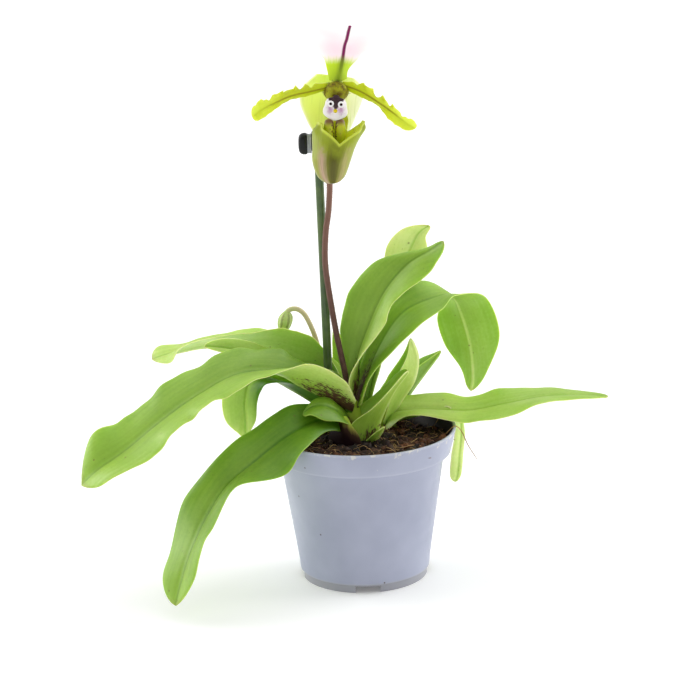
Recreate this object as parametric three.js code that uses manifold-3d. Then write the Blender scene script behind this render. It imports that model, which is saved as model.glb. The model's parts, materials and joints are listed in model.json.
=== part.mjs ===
import * as THREE from 'three';
import { mergeVertices } from 'three/addons/utils/BufferGeometryUtils.js';
import Module from 'manifold-3d';

const wasm = await Module();
wasm.setup();

// A slipper orchid in its nursery pot, with one open bloom tied to a stake and one young bud.
// Millimetres, +Z up. While it is built, the pot's axis is the Z axis and the bloom faces -Y.

// ---- Driving dimensions ----

const gap = 0.3; // clearance between pieces that touch

const pot = {
  height: 72, rimRadius: 45, rimWidth: 1.6, rimDepth: 1.5, rimBevel: 0.5, wall: 1,
  collarHeight: 11.5, collarRadius: 42.2, // the collar's lower edge
  shoulderRadius: 39.2, baseRadius: 31.3, baseHeight: 8,
  footRadius: 30, footHeight: 4, footWidth: 1.6, footTopRadius: 31, floorHeight: 2.2,
  notchWidth: 11.7, notchHeight: 3.2, notchDepth: 8, notches: 4, notchTurn: -88, // degrees
  holeRadius: 3.5, holeSides: 12, holeCircle: 20, holes: 8,
  segments: 40,
};

const soil = {
  height: 66, bump: 1.3, hollowDepth: 5, hollowRadius: 10, hollow: [25, 22],
  clearance: 0.5, bevel: 0.6, rings: [41, 35, 29, 23, 17, 11, 5], segments: 32,
};

const stem = { stake: 2, scape: 1.4, ovary: 2.2, budScape: 1.2, root: 1.7, rhizome: 3.2 }; // radii

const growth = { sides: 12, ridges: 4, ridgeDepth: 0.05 };

const blade = {
  ribThickness: 1.1, edgeThickness: 0.7, petalThickness: 0.8,
  crowding: 1.25, // rows crowd a little towards the tip
  tipOpening: 0.08, leastHalfWidth: 0.4, // the tip is blunt, never a knife edge
  phase: 2.1, // between the waves of the two margins, radians
};

// ---- Routes: points in growing order ----

const stakeRoute = [[-13.7, 12.5, 10], [-14.5, 12.5, 66], [-16.4, 12.5, 214]];
const scapeRoute = [
  [-5, 1, 79], [-6.5, 2, 96], [-10.5, 5, 118], [-13.6, 7, 140], [-14.6, 7, 153],
  [-13.8, 7.5, 166], [-12, 8.5, 178], [-10.3, 10, 204], [-9, 9.5, 216.5],
];
const ovaryRoute = [[-9, 9.3, 217], [-8.2, 8.8, 223.5], [-7.4, 6.5, 230], [-7, 1.2, 235]];
const budScapeRoute = [
  [-4, 8, 82], [-8, 12, 89], [-13, 17.5, 96], [-18, 20, 103],
  [-22, 22, 115], [-26, 24, 123], [-29, 24, 126], [-31.5, 24, 125.8],
];
const rootRoutes = [
  [[-5, 3, 60], [-16, -6, 48], [-24, -14, 26]],
  [[-4, 0, 58], [0, -14, 42], [4, -22, 20]],
  [[-3, 4, 60], [8, -2, 46], [22, -6, 24]],
  [[12, 23, 60], [20, 16, 44], [22, 12, 22]],
  [[-5, 6, 58], [-3, 18, 42], [-4, 24, 18]],
];
const rhizomeRoute = [[-5, 3, 60], [3, 14, 58], [12, 23, 60]];

// Stacked sheaths of the two growths: [x, y, z, radius]
const mainGrowth = [
  [-5, 3, 55, 4], [-5, 3, 60, 7], [-5, 3, 66, 8.3], [-4.6, 3.2, 72, 7.2],
  [-4.3, 3.6, 78, 5.6], [-4, 4, 83, 3.6], [-4, 4, 85, 1.6],
];
const sideGrowth = [
  [12, 23, 55, 3], [12, 23, 60, 5], [12, 23, 66, 5.4], [12.5, 23, 71, 4.2], [13, 23, 75, 2],
];

// ---- Leaves ----
// Each row is [left margin, midrib, right margin], seen from the foot with the upper face up.
// "round" is where the tip starts to close, as a share of the length.

const leaves = {
  leaf_small_front: {
    rows: [
      [[-1, -11, 77], [-5, -5, 75], [-6, 1, 79]],
      [[-10, -16, 80], [-11, -10, 83], [-10, -3, 84]],
      [[-17, -20, 82], [-17, -13, 87], [-15, -6, 89]],
      [[-23, -21, 85], [-23, -15, 87], [-21, -10, 90]],
    ],
    tip: [-27, -18, 85], round: 0.75, along: 8, across: 4,
  },
  leaf_small_right: {
    rows: [
      [[-4, 1, 70], [-1, -5, 66], [-5, -9, 73]],
      [[-2, 3, 79], [5, -4, 72], [-3, -11, 78]],
      [[7, 5, 87], [11, -2, 81], [5, -10, 84]],
      [[14, 6, 93], [16, 0, 90], [14, -7, 92]],
    ],
    tip: [23, 1, 99], round: 0.7, along: 10, across: 4,
  },
  leaf_stub: {
    rows: [
      [[1, 2, 70], [2.5, -1, 69], [1, -4, 71]],
      [[5, 1, 71.5], [6, -2, 69.5], [5, -5, 72.5]],
    ],
    tip: [10, -3, 73.5], round: 0.4, along: 6, across: 4,
  },
  leaf_left_long: {
    rows: [
      [[-2, -5, 87], [-4, 0, 80], [-3, 5, 83]],
      [[-8, -12, 100], [-17, -4, 89], [-9, 7, 96]],
      [[-21, -17, 108], [-28, -7, 96], [-20, 8, 100]],
      [[-35, -24, 108], [-39, -10, 103], [-33, 7, 107]],
      [[-53, -30, 102], [-56, -14, 104], [-46, 4, 112]],
      [[-68, -35, 96], [-73, -19, 97], [-69, -1, 110]],
      [[-82, -40, 87], [-91, -24, 86], [-93, -8, 100]],
      [[-97, -44, 73], [-109, -29, 73], [-111, -16, 86]],
      [[-114, -46, 63], [-122, -33, 65], [-122, -22, 82]],
    ],
    tip: [-130, -33, 58], round: 0.94, power: 3, wave: [0.05, 0.07], waves: 6, along: 22, across: 6,
  },
  leaf_left_low: {
    rows: [
      [[-4, -6, 71], [-5, -2, 74], [-6, 3, 77]],
      [[-16, -18, 76], [-18, -12, 80], [-18, -4, 85]],
      [[-26, -38, 74], [-33, -24, 77], [-35, -13, 87]],
      [[-36, -44, 64], [-49, -34, 68], [-52, -22, 81]],
      [[-57, -52, 61], [-62, -42, 59], [-67, -30, 69]],
      [[-67, -59, 48], [-71, -48, 47], [-82, -36, 52]],
      [[-73, -64, 37], [-79, -54, 32], [-89, -42, 31]],
      [[-77, -66, 24], [-84, -58, 18], [-93, -50, 20]],
    ],
    tip: [-87, -60, 8], round: 0.9, power: 2.5, wave: [0.05, 0.04], waves: 4, along: 18, across: 6,
  },
  leaf_left_droop: {
    rows: [
      [[-4, -1, 80], [-5, 3, 76], [-4, 7, 79]],
      [[-16, -2, 87], [-18, 3, 82], [-16, 8, 86]],
      [[-30, 2, 94], [-31, 8, 89], [-30, 14, 94]],
      [[-43, 4, 94], [-44, 12, 95], [-46, 18, 98]],
      [[-47, 5, 90], [-52, 12, 93], [-60, 16, 97]],
      [[-49, 5, 84], [-55, 11, 84], [-66, 12, 86]],
      [[-50, 5, 75], [-55, 10, 74], [-65, 10, 74]],
      [[-53, 7, 68], [-55, 9, 68], [-61, 9, 68]],
    ],
    tip: [-55, 8, 64], round: 0.85, along: 14, across: 4,
  },
  leaf_left_back: {
    rows: [
      [[-5, 3, 86], [-4, 6, 80], [-2, 9, 83]],
      [[-14, 16, 103], [-12, 18, 88], [-9, 24, 96]],
      [[-25, 15, 115], [-26, 22, 97], [-23, 32, 105]],
      [[-39, 14, 118], [-43, 24, 104], [-40, 36, 112]],
      [[-57, 14, 116], [-59, 26, 107], [-57, 38, 112]],
      [[-73, 15, 114], [-75, 26, 107], [-74, 38, 109]],
      [[-85, 17, 109], [-87, 26, 105], [-86, 38, 106]],
      [[-90, 18, 102], [-94, 27, 103], [-96, 36, 106]],
    ],
    tip: [-100, 28, 101], round: 0.92, power: 3, wave: [0.03, 0.03], waves: 5, along: 18, across: 4,
  },
  leaf_left_mid: {
    rows: [
      [[-6, 8, 76], [-4, 9, 73], [-3, 10, 76]],
      [[-15, 16, 84], [-15, 18, 80], [-14, 21, 84]],
      [[-30, 9, 98], [-30, 14, 94], [-29, 20, 97]],
      [[-46, 5, 106], [-45, 9, 104], [-46, 14, 110]],
      [[-60, 4, 108], [-60, 8, 110], [-61, 12, 116]],
    ],
    tip: [-73, 8, 112], round: 0.6, power: 2.2, along: 10, across: 4,
  },
  leaf_up: {
    rows: [
      [[-6, 4, 84], [-3, 5, 80], [-4, 1, 84]],
      [[-6, 7, 95], [-1, 7, 93], [-5, -2, 97]],
      [[-8, 11, 110], [0, 9, 105], [3, -2, 110]],
      [[-8, 15, 122], [5, 11, 119], [13, 0, 123]],
      [[-2, 18, 137], [13, 12, 135], [17, 0, 133]],
      [[10, 18, 149], [24, 12, 148], [31, 2, 143]],
      [[32, 14, 155], [35, 10, 155], [38, 4, 150]],
    ],
    tip: [41, 6, 160], round: 0.85, wave: [0.03, 0.04], waves: 4, along: 16, across: 6,
  },
  leaf_fold_right: {
    rows: [
      [[-4, 5, 84], [-2, 3, 80], [0, -2, 84]],
      [[1, 10, 100], [2, 6, 91], [6, -3, 99]],
      [[10, 18, 121], [10, 11, 109], [18, -1, 111]],
      [[20, 26, 131], [21, 17, 123], [30, 5, 121]],
      [[32, 34, 135], [35, 24, 128], [40, 13, 125]],
      [[43, 46, 125], [46, 33, 127], [47, 22, 130]],
      [[39, 48, 113], [51, 42, 115], [62, 38, 125]],
      [[42, 48, 100], [55, 46, 98], [68, 46, 105]],
      [[49, 48, 87], [56, 47, 83], [65, 48, 85]],
    ],
    tip: [55, 47, 75], round: 0.86, wave: [0.02, 0.03], waves: 4, along: 22, across: 6,
  },
  leaf_back: {
    rows: [
      [[-7, 9, 78], [-4, 10, 74], [0, 10, 78]],
      [[-7, 14, 96], [-1, 18, 93], [6, 14, 96]],
      [[-4, 20, 117], [5, 24, 111], [13, 20, 114]],
      [[3, 25, 133], [13, 29, 128], [21, 25, 128]],
      [[12, 28, 144], [21, 31, 142], [31, 28, 140]],
      [[15, 28, 154], [26, 31, 151], [34, 28, 151]],
      [[21, 27, 162], [30, 29, 159], [34, 26, 158]],
    ],
    tip: [35, 24, 164], round: 0.85, along: 14, across: 4,
  },
  leaf_back_small: {
    rows: [
      [[-6, 10, 74], [-4, 11, 71], [-2, 11, 74]],
      [[-12, 26, 93], [-8, 27, 91], [-5, 26, 94]],
      [[-13, 28, 104], [-10, 30, 103], [-7, 28, 104]],
    ],
    tip: [-11, 29, 115], round: 0.6, along: 8, across: 4,
  },
  leaf_thin_back: {
    rows: [
      [[0, 12, 74], [1, 9, 71], [3, 7, 74]],
      [[2, 14, 90], [5, 13, 86], [7, 10, 89]],
      [[6, 16, 98], [8, 15, 96], [10, 12, 97]],
    ],
    tip: [11, 16, 103], round: 0.6, along: 8, across: 4,
  },
  leaf_boat: {
    rows: [
      [[8, 24, 70], [12, 20, 65], [11, 15, 70]],
      [[9, 24, 82], [19, 20, 78], [15, 12, 84]],
      [[13, 24, 89], [26, 20, 89], [19, 12, 95]],
      [[18, 24, 100], [28, 21, 100], [21, 14, 102]],
    ],
    tip: [25, 20, 110], round: 0.7, along: 10, across: 4,
  },
  leaf_small_back: {
    rows: [
      [[12, 28, 70], [14, 26, 65], [15, 23, 69]],
      [[21, 35, 83], [23, 30, 78], [19, 24, 82]],
      [[29, 38, 95], [31, 33, 88], [27, 27, 93]],
    ],
    tip: [39, 34, 99], round: 0.7, along: 8, across: 4,
  },
  leaf_right: {
    rows: [
      [[13, 27, 68], [12, 22, 64], [9, 18, 68]],
      [[15, 27, 78], [15, 20, 71], [11, 10, 80]],
      [[26, 27, 80], [25, 18, 75], [23, 4, 79]],
      [[39, 28, 80], [38, 15, 75], [36, -1, 76]],
      [[53, 28, 78], [53, 13, 75], [51, -4, 74]],
      [[68, 28, 81], [69, 12, 78], [67, -4, 76]],
      [[87, 26, 82], [86, 11, 81], [85, -4, 82]],
      [[104, 20, 82], [102, 9, 82], [99, -2, 83]],
    ],
    tip: [118, 6, 82], round: 0.7, wave: [0.03, 0.03], waves: 4, along: 18, across: 6,
  },
  leaf_right_hang: {
    rows: [
      [[12, 28, 68], [13, 25, 67.5], [14, 22, 69]],
      [[24, 31, 71], [24, 26, 69], [23, 20, 72]],
      [[37, 28, 75], [37, 24, 73], [35, 18, 75]],
      [[47, 23, 73], [46, 20, 74], [43, 15, 76]],
      [[50, 18, 64], [48, 17, 65], [45, 12, 66]],
      [[49, 17, 52], [47, 15, 52], [43, 12, 53]],
      [[48, 15, 43], [46, 14, 43], [42, 12, 44]],
    ],
    tip: [45, 14, 37], round: 0.85, along: 14, across: 4,
  },
};

// ---- Bloom ----

const bloomBlades = {
  synsepal: {
    rows: [
      [[-16, 5, 240], [-7, 2, 239], [1.5, 5, 237.5]],
      [[-22.5, 6, 234], [-8, 4, 231.5], [6, 6, 232]],
      [[-24, 5, 227.5], [-8.5, 5, 224], [4.5, 5, 226]],
      [[-21, 3, 219], [-9.5, 4, 216.5], [1, 3, 218.5]],
      [[-17, 0, 211], [-9.5, 1, 209], [-2.5, 0, 211]],
    ],
    tip: [-10, -3, 201.5], round: 0.75, along: 10, across: 6, thickness: blade.petalThickness,
  },
  dorsal_sepal: {
    rows: [
      [[-10, 1, 237.5], [-6, -3, 237], [-2, 1, 238]],
      [[-11, 2, 242.5], [-4.5, -4, 243], [-1, 2, 242]],
      [[-12.5, 2, 247.5], [-3.5, -4, 248], [3.5, 2, 246.5]],
      [[-18.5, 0, 254.5], [-2.5, -4, 253.5], [10.5, 0, 251.5]],
      [[-24, 0, 260.5], [-1.5, -5, 256.5], [18, 0, 254]],
      [[-21.5, 0, 265.5], [-0.5, -6, 258.5], [17.5, 0, 259]],
      [[-13, -2, 265.5], [-0.5, -7, 260], [9.5, -2, 260]],
      [[-6, -6, 260.5], [0, -8, 261], [3.5, -6, 259.5]],
    ],
    tip: [0.5, -9, 263], round: 1, spread: 0.2, along: 16, across: 8, thickness: blade.petalThickness,
  },
  petal_left: {
    rows: [
      [[-11, -5, 234], [-9, -6, 235.5], [-8.5, -4, 237]],
      [[-20, -6, 231.5], [-18, -9, 234], [-18, -5, 237]],
      [[-28.5, -8, 230], [-27.5, -12, 232.5], [-26.5, -7, 236]],
      [[-35, -12, 226.5], [-34.5, -15, 230], [-35, -9, 233.5]],
      [[-39.5, -17, 224], [-40.5, -18, 227.5], [-42, -12, 230.5]],
    ],
    tip: [-45, -18, 224.5], round: 0.9, power: 3, wave: [0.08, 0.22], frill: [0.04, 0.14], waves: 6,
    along: 26, across: 4, thickness: blade.petalThickness,
  },
  petal_right: {
    rows: [
      [[-4, -4, 237.5], [-3.5, -6, 236], [-3, -5, 234]],
      [[5, -5, 236.5], [4.5, -9, 233], [4.5, -6, 230]],
      [[13.5, -7, 231], [12.5, -12, 228], [11.5, -8, 226.5]],
      [[20, -10, 225.5], [19, -15, 223.5], [16, -12, 221]],
      [[26, -13, 221], [23.5, -18, 220], [20.5, -17, 218]],
    ],
    tip: [28, -18, 217], round: 0.9, power: 3, wave: [0.22, 0.08], frill: [0.14, 0.04], waves: 6,
    along: 26, across: 4, thickness: blade.petalThickness,
  },
};

const bract = {
  rows: [
    [[-11.5, 9, 213], [-9.5, 13, 212], [-7, 9.5, 213]],
    [[-12.5, 8.5, 221], [-9, 13.5, 221], [-5.5, 8.5, 221]],
  ],
  tip: [-8.5, 12, 231], round: 0.5, along: 6, across: 4, thickness: blade.petalThickness,
};

// The pouch from its toe up: [x, y, z, half width, half depth] of the outside
const pouch = {
  sections: [
    [-10.4, -22, 193.7, 1, 1], [-10.1, -21.5, 195, 3.6, 3.6], [-10.2, -21, 197.2, 6.1, 5.6],
    [-10.3, -20, 200.7, 7.7, 7.2], [-10, -19, 205, 8.8, 8.2], [-9.2, -17.5, 209.3, 9.2, 8.6],
    [-7.9, -16, 213.6, 10.4, 8.6], [-6.9, -14, 216.9, 11.5, 8], [-5.9, -12, 219.7, 12.2, 7],
  ],
  wall: 0.9, leastInside: 0.3, columns: 24, levels: 8,
  notchTurn: -75, notchDepth: 0.4, notchSpan: 80, // of the V in front, degrees and a share of the height
  clawTurn: 90, clawRise: 0.3, clawSpan: 42, // of the claw behind, which reaches the column
};

const column = { centre: [-7, -5, 233], radii: [5.8, 5.5, 4.6], sides: 18, levels: 10 };

const staminode = {
  centre: [-7.5, -13, 226.5], width: 11, height: 10.5, thickness: 1.2,
  eyeRadius: 1.3, eyeTube: 0.5, eyeSpacing: 4.6, eyeRise: 2.6,
  bossRadius: 1.3, bossRise: -0.6, neckRadius: 1.8, neckRise: 4, neckReach: -8.5, lean: 6, // degrees
};

const bud = {
  top: [-33.2, 24, 125.6], foot: [-36, 24, 113.4], radius: 3.3, leastRadius: 0.3, fullness: 0.7,
  ends: [0.06, 0.96], // the stretch of half a sine wave that its outline follows
  ridges: 6, ridgeDepth: 0.125, sides: 18, levels: 7,
};

// ---- Clip ----

const clip = {
  low: 203.5, high: 209.5, wall: 1.1, room: 0.5, slitWidth: 1,
  gripWidth: 4.1, gripHeight: 10, gripDepth: 7, gripCorner: 3, gripCentre: [-23.3, 12, 206.8],
  bandWidth: 0.75, bandHeight: 9.4, bandDepth: 6.4,
};

// ---- Helpers ----

const vector = (p) => new THREE.Vector3(...p);
const radians = THREE.MathUtils.degToRad;
const smooth = (t) => THREE.MathUtils.smoothstep(t, 0, 1);
const curveThrough = (points) => new THREE.CatmullRomCurve3(points.map(vector), false, 'catmullrom', 0.5);

function closedGeometry(points, faces) {
  const geometry = new THREE.BufferGeometry();
  geometry.setFromPoints(points);
  geometry.setIndex(faces);
  return geometry;
}

function toSolid(geometry) {
  const bare = geometry.clone();
  bare.deleteAttribute('normal');
  bare.deleteAttribute('uv');
  const merged = mergeVertices(bare, 1e-3);
  const vertProperties = Float32Array.from(merged.attributes.position.array);
  const triVerts = Uint32Array.from(merged.index.array);
  return new wasm.Manifold(new wasm.Mesh({ numProp: 3, vertProperties, triVerts }));
}

function toGeometry(solid) {
  const mesh = solid.getMesh();
  const geometry = new THREE.BufferGeometry();
  geometry.setAttribute('position', new THREE.BufferAttribute(Float32Array.from(mesh.vertProperties), 3));
  geometry.setIndex(Array.from(mesh.triVerts));
  return geometry;
}

function largestPiece(solid) {
  const pieces = solid.decompose();
  return pieces.reduce((best, piece) => (piece.volume() > best.volume() ? piece : best));
}

// Takes the cutters out of a solid and keeps the one piece that stays attached
function cutBy(solid, cutters) {
  let left = solid;
  for (const cutter of cutters) {
    left = left.subtract(cutter);
  }
  return largestPiece(left);
}

// A round rod along a route, made longer at both ends by "grow"
function rod(route, radius, sides, steps, grow = 0) {
  const points = route.map(vector);
  const last = points.length - 1;
  points[0].addScaledVector(points[1].clone().sub(points[0]).normalize(), -grow);
  points[last].addScaledVector(points[last - 1].clone().sub(points[last]).normalize(), -grow);
  const outline = new THREE.Shape();
  outline.absarc(0, 0, radius + grow, 0, 2 * Math.PI);
  return new THREE.ExtrudeGeometry(outline, {
    extrudePath: new THREE.CatmullRomCurve3(points, false, 'catmullrom', 0.5),
    steps, bevelEnabled: false, curveSegments: Math.ceil(sides / 2),
  });
}

// Joins rings of equal length into one skin, with a fan on the first and on the last ring
function loft(rings) {
  const count = rings[0].length;
  const points = rings.flat();
  const faces = [];
  for (let level = 0; level + 1 < rings.length; level += 1) {
    for (let i = 0; i < count; i += 1) {
      const a = level * count + i;
      const b = level * count + (i + 1) % count;
      faces.push(a, b, b + count, a, b + count, a + count);
    }
  }
  const centreOf = (ring) => ring.reduce((sum, p) => sum.add(p), new THREE.Vector3()).divideScalar(count);
  const lastStart = points.length - count;
  const foot = points.push(centreOf(rings[0])) - 1;
  const head = points.push(centreOf(rings[rings.length - 1])) - 1;
  for (let i = 0; i < count; i += 1) {
    const next = (i + 1) % count;
    faces.push(foot, next, i, head, lastStart + i, lastStart + next);
  }
  return closedGeometry(points, faces);
}

// The middle surface of a blade as a grid, from its foot to its tip and from left to right
function bladeGrid(shape, grow) {
  const { rows, tip, round, power = 2, spread = 0.9, along, across } = shape;
  const { wave = [0, 0], frill = [0, 0], waves = 1, bulge = 0.1 } = shape;
  const lastRow = rows[rows.length - 1];
  const rib = curveThrough([...rows.map((row) => row[1]), tip]);
  const margin = (side) => {
    const reach = vector(lastRow[side]).sub(vector(lastRow[1])).multiplyScalar(spread);
    return curveThrough([...rows.map((row) => row[side]), vector(tip).add(reach).toArray()]);
  };
  const margins = [margin(0), margin(2)];
  const grid = [];
  for (let i = 0; i <= along; i += 1) {
    const share = 1 - (1 - i / along) ** blade.crowding;
    const t = rib.getUtoTmapping(share);
    const middle = rib.getPoint(t);
    const tangent = rib.getTangent(t);
    const closing = THREE.MathUtils.clamp((share - round) / (1 - round || 1), 0, 1);
    const open = Math.max(Math.sqrt(1 - closing ** power), blade.tipOpening);
    const sides = margins.map((curve) => curve.getPoint(t).sub(middle).multiplyScalar(open));
    for (const side of sides) {
      side.setLength(Math.max(side.length(), blade.leastHalfWidth) + grow);
    }
    const normal = sides[1].clone().sub(sides[0]).cross(tangent).normalize();
    const halfWidth = (sides[0].length() + sides[1].length()) / 2;
    if (i === 0 || i === along) {
      middle.addScaledVector(tangent, i === 0 ? -grow : grow);
    }
    const row = [];
    for (let j = 0; j <= across; j += 1) {
      const c = (2 * j) / across - 1;
      const out = Math.abs(c);
      const side = c < 0 ? 0 : 1;
      const beat = 2 * Math.PI * waves * share + blade.phase * side;
      const edge = out ** 3 * Math.sin(Math.PI * share);
      const lift = halfWidth * (2 * bulge * out * (1 - out) + wave[side] * edge * Math.sin(beat));
      const reach = out * (1 + frill[side] * edge * Math.cos(beat));
      row.push(middle.clone().addScaledVector(sides[side], reach).addScaledVector(normal, lift));
    }
    grid.push(row);
  }
  return grid;
}

// Unit normals of a grid of points
function gridNormals(grid) {
  const at = (i, j) => grid[THREE.MathUtils.clamp(i, 0, grid.length - 1)][
    THREE.MathUtils.clamp(j, 0, grid[0].length - 1)];
  return grid.map((row, i) => row.map((_, j) => {
    const lengthwise = at(i + 1, j).clone().sub(at(i - 1, j));
    const crosswise = at(i, j + 1).clone().sub(at(i, j - 1));
    return crosswise.cross(lengthwise).normalize();
  }));
}

// A blade with an upper and a lower face, triangulated alike, and a strip along its edge
function bladeGeometry(shape, grow = 0) {
  const grid = bladeGrid(shape, grow);
  const normals = gridNormals(grid);
  const rib = shape.thickness ?? blade.ribThickness;
  const edge = Math.min(rib, blade.edgeThickness);
  const columns = grid[0].length;
  const rowsCount = grid.length;
  const layer = (side) => grid.flatMap((row, i) => row.map((point, j) => {
    const out = Math.abs((2 * j) / (columns - 1) - 1);
    const half = THREE.MathUtils.lerp(rib, edge, out) / 2 + grow;
    return point.clone().addScaledVector(normals[i][j], side * half);
  }));
  const points = [...layer(1), ...layer(-1)];
  const below = rowsCount * columns;
  const faces = [];
  for (let i = 0; i + 1 < rowsCount; i += 1) {
    for (let j = 0; j + 1 < columns; j += 1) {
      const a = i * columns + j;
      const [b, c, d] = [a + 1, a + columns + 1, a + columns];
      faces.push(a, b, c, a, c, d);
      faces.push(below + a, below + c, below + b, below + a, below + d, below + c);
    }
  }
  const rim = [];
  for (let j = 0; j < columns - 1; j += 1) rim.push(j);
  for (let i = 0; i < rowsCount - 1; i += 1) rim.push(i * columns + columns - 1);
  for (let j = columns - 1; j > 0; j -= 1) rim.push((rowsCount - 1) * columns + j);
  for (let i = rowsCount - 1; i > 0; i -= 1) rim.push(i * columns);
  rim.forEach((a, k) => {
    const b = rim[(k + 1) % rim.length];
    faces.push(a, below + a, below + b, a, below + b, b);
  });
  return closedGeometry(points, faces);
}

const bladeSolid = (shape) => toSolid(bladeGeometry(shape));
const bladeClearance = (shape) => toSolid(bladeGeometry(shape, gap));

// ---- Pot ----

function potSolid() {
  const p = pot;
  const ledge = p.height - p.collarHeight;
  const profile = [
    [0, p.floorHeight], [p.footRadius - p.footWidth, p.floorHeight],
    [p.footRadius - p.footWidth, 0], [p.footRadius, 0], [p.footRadius, p.footHeight],
    [p.footTopRadius, p.footHeight], [p.baseRadius, p.baseHeight],
    [p.shoulderRadius, ledge], [p.collarRadius, ledge],
    [p.rimRadius, p.height - p.rimBevel], [p.rimRadius - p.rimBevel, p.height],
    [p.rimRadius - p.rimWidth, p.height], [p.rimRadius - p.rimWidth, p.height - p.rimDepth],
    [p.collarRadius - p.wall, ledge + p.wall], [p.shoulderRadius - p.wall, ledge + p.wall],
    [p.baseRadius - p.wall, p.baseHeight], [p.footRadius - p.wall, p.floorHeight + p.wall],
    [0, p.floorHeight + p.wall],
  ];
  const body = new THREE.LatheGeometry(profile.map(([r, z]) => new THREE.Vector2(r, z)), p.segments);
  body.rotateX(Math.PI / 2);
  const cutters = [];
  for (let k = 0; k < p.notches; k += 1) {
    const notch = new THREE.BoxGeometry(p.notchDepth, p.notchWidth, 2 * p.notchHeight);
    notch.translate(p.footRadius, 0, 0);
    notch.rotateZ(radians(p.notchTurn) + (2 * Math.PI * k) / p.notches);
    cutters.push(toSolid(notch));
  }
  for (let k = 0; k <= p.holes; k += 1) {
    const hole = new THREE.CylinderGeometry(p.holeRadius, p.holeRadius, 4 * p.wall, p.holeSides);
    hole.rotateX(Math.PI / 2);
    const turn = (2 * Math.PI * k) / p.holes;
    const circle = k === p.holes ? 0 : p.holeCircle; // the last hole is the one in the middle
    hole.translate(circle * Math.cos(turn), circle * Math.sin(turn), p.floorHeight + p.wall / 2);
    cutters.push(toSolid(hole));
  }
  return cutBy(toSolid(body), cutters);
}

// ---- Growing medium ----

function soilTop(x, y) {
  const waves = Math.sin(0.55 * x + 0.3 * y) + Math.sin(0.7 * y - 0.4 * x + 1) + Math.sin(0.9 * (x + y) + 2);
  const away = Math.hypot(x - soil.hollow[0], y - soil.hollow[1]) / soil.hollowRadius;
  return soil.height + (soil.bump * waves) / 3 - soil.hollowDepth * Math.exp(-away * away);
}

function soilGeometry() {
  const ledge = pot.height - pot.collarHeight + pot.wall + gap;
  const inner = pot.wall + soil.clearance;
  const slope = (pot.shoulderRadius - pot.baseRadius) / (pot.height - pot.collarHeight - pot.baseHeight);
  const wallRadius = (z) => pot.baseRadius - inner + slope * (z - pot.baseHeight);
  const ring = (radius, height) => Array.from({ length: soil.segments }, (_, i) => {
    const turn = (2 * Math.PI * i) / soil.segments;
    const [x, y] = [radius * Math.cos(turn), radius * Math.sin(turn)];
    return new THREE.Vector3(x, y, height ?? soilTop(x, y));
  });
  const floor = pot.floorHeight + pot.wall + gap;
  const side = [
    ring(wallRadius(floor) - soil.bevel, floor), ring(wallRadius(pot.baseHeight), pot.baseHeight),
    ring(wallRadius(ledge), ledge), ring(pot.collarRadius - inner, ledge),
  ];
  return loft([...side, ...soil.rings.map((radius) => ring(radius))]);
}

// ---- Crown: the rhizome, its two growths and its thick roots ----

function growthSolid(levels, grow) {
  const { sides, ridges, ridgeDepth } = growth;
  const rings = levels.map(([x, y, z, radius], level) => {
    const shift = (level === 0 ? -grow : 0) + (level === levels.length - 1 ? grow : 0);
    return Array.from({ length: sides }, (_, i) => {
      const turn = (2 * Math.PI * i) / sides;
      const ridged = radius * (1 + ridgeDepth * Math.cos(ridges * turn + level)) + grow;
      return new THREE.Vector3(x + ridged * Math.cos(turn), y + ridged * Math.sin(turn), z + shift);
    });
  });
  return toSolid(loft(rings));
}

function crownSolid(grow = 0) {
  let crown = growthSolid(mainGrowth, grow).add(growthSolid(sideGrowth, grow));
  crown = crown.add(toSolid(rod(rhizomeRoute, stem.rhizome, 8, 5, grow)));
  for (const route of rootRoutes) {
    crown = crown.add(toSolid(rod(route, stem.root, 6, 6, grow)));
  }
  return crown;
}

// ---- Lip ----

// Height share of the pouch's rim at an angle around it, 1 being the height of the ears
function rimShare(degrees) {
  const apart = (target) => Math.abs(((degrees - target + 540) % 360) - 180);
  const notch = Math.max(1 - apart(pouch.notchTurn) / pouch.notchSpan, 0);
  const claw = smooth(Math.max(1 - apart(pouch.clawTurn) / pouch.clawSpan, 0));
  return 1 - pouch.notchDepth * notch + pouch.clawRise * claw;
}

function pouchSection(share) {
  const last = pouch.sections.length - 1;
  const place = Math.min(share, 1) * last;
  const low = Math.min(Math.floor(place), last - 1);
  const section = pouch.sections[low].map((value, k) => (
    THREE.MathUtils.lerp(value, pouch.sections[low + 1][k], place - low)));
  if (share > 1) {
    section[2] += (share - 1) * (pouch.sections[last][2] - pouch.sections[0][2]);
  }
  return section;
}

function lipGeometry() {
  const ring = (level, inset) => Array.from({ length: pouch.columns }, (_, i) => {
    const degrees = (360 * i) / pouch.columns;
    const [x, y, z, halfWidth, halfDepth] = pouchSection((level / pouch.levels) * rimShare(degrees));
    const turn = radians(degrees);
    const [a, b] = [halfWidth, halfDepth].map((half) => Math.max(half - inset, pouch.leastInside));
    return new THREE.Vector3(x + a * Math.cos(turn), y + b * Math.sin(turn), z);
  });
  const outside = Array.from({ length: pouch.levels + 1 }, (_, level) => ring(level, 0));
  const inside = Array.from({ length: pouch.levels }, (_, k) => ring(pouch.levels - k, pouch.wall));
  return loft([...outside, ...inside]);
}

// ---- Column and staminode ----

function columnGeometry(grow = 0) {
  const geometry = new THREE.SphereGeometry(1, column.sides, column.levels);
  geometry.scale(...column.radii.map((radius) => radius + grow));
  geometry.translate(...column.centre);
  return geometry;
}

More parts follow.
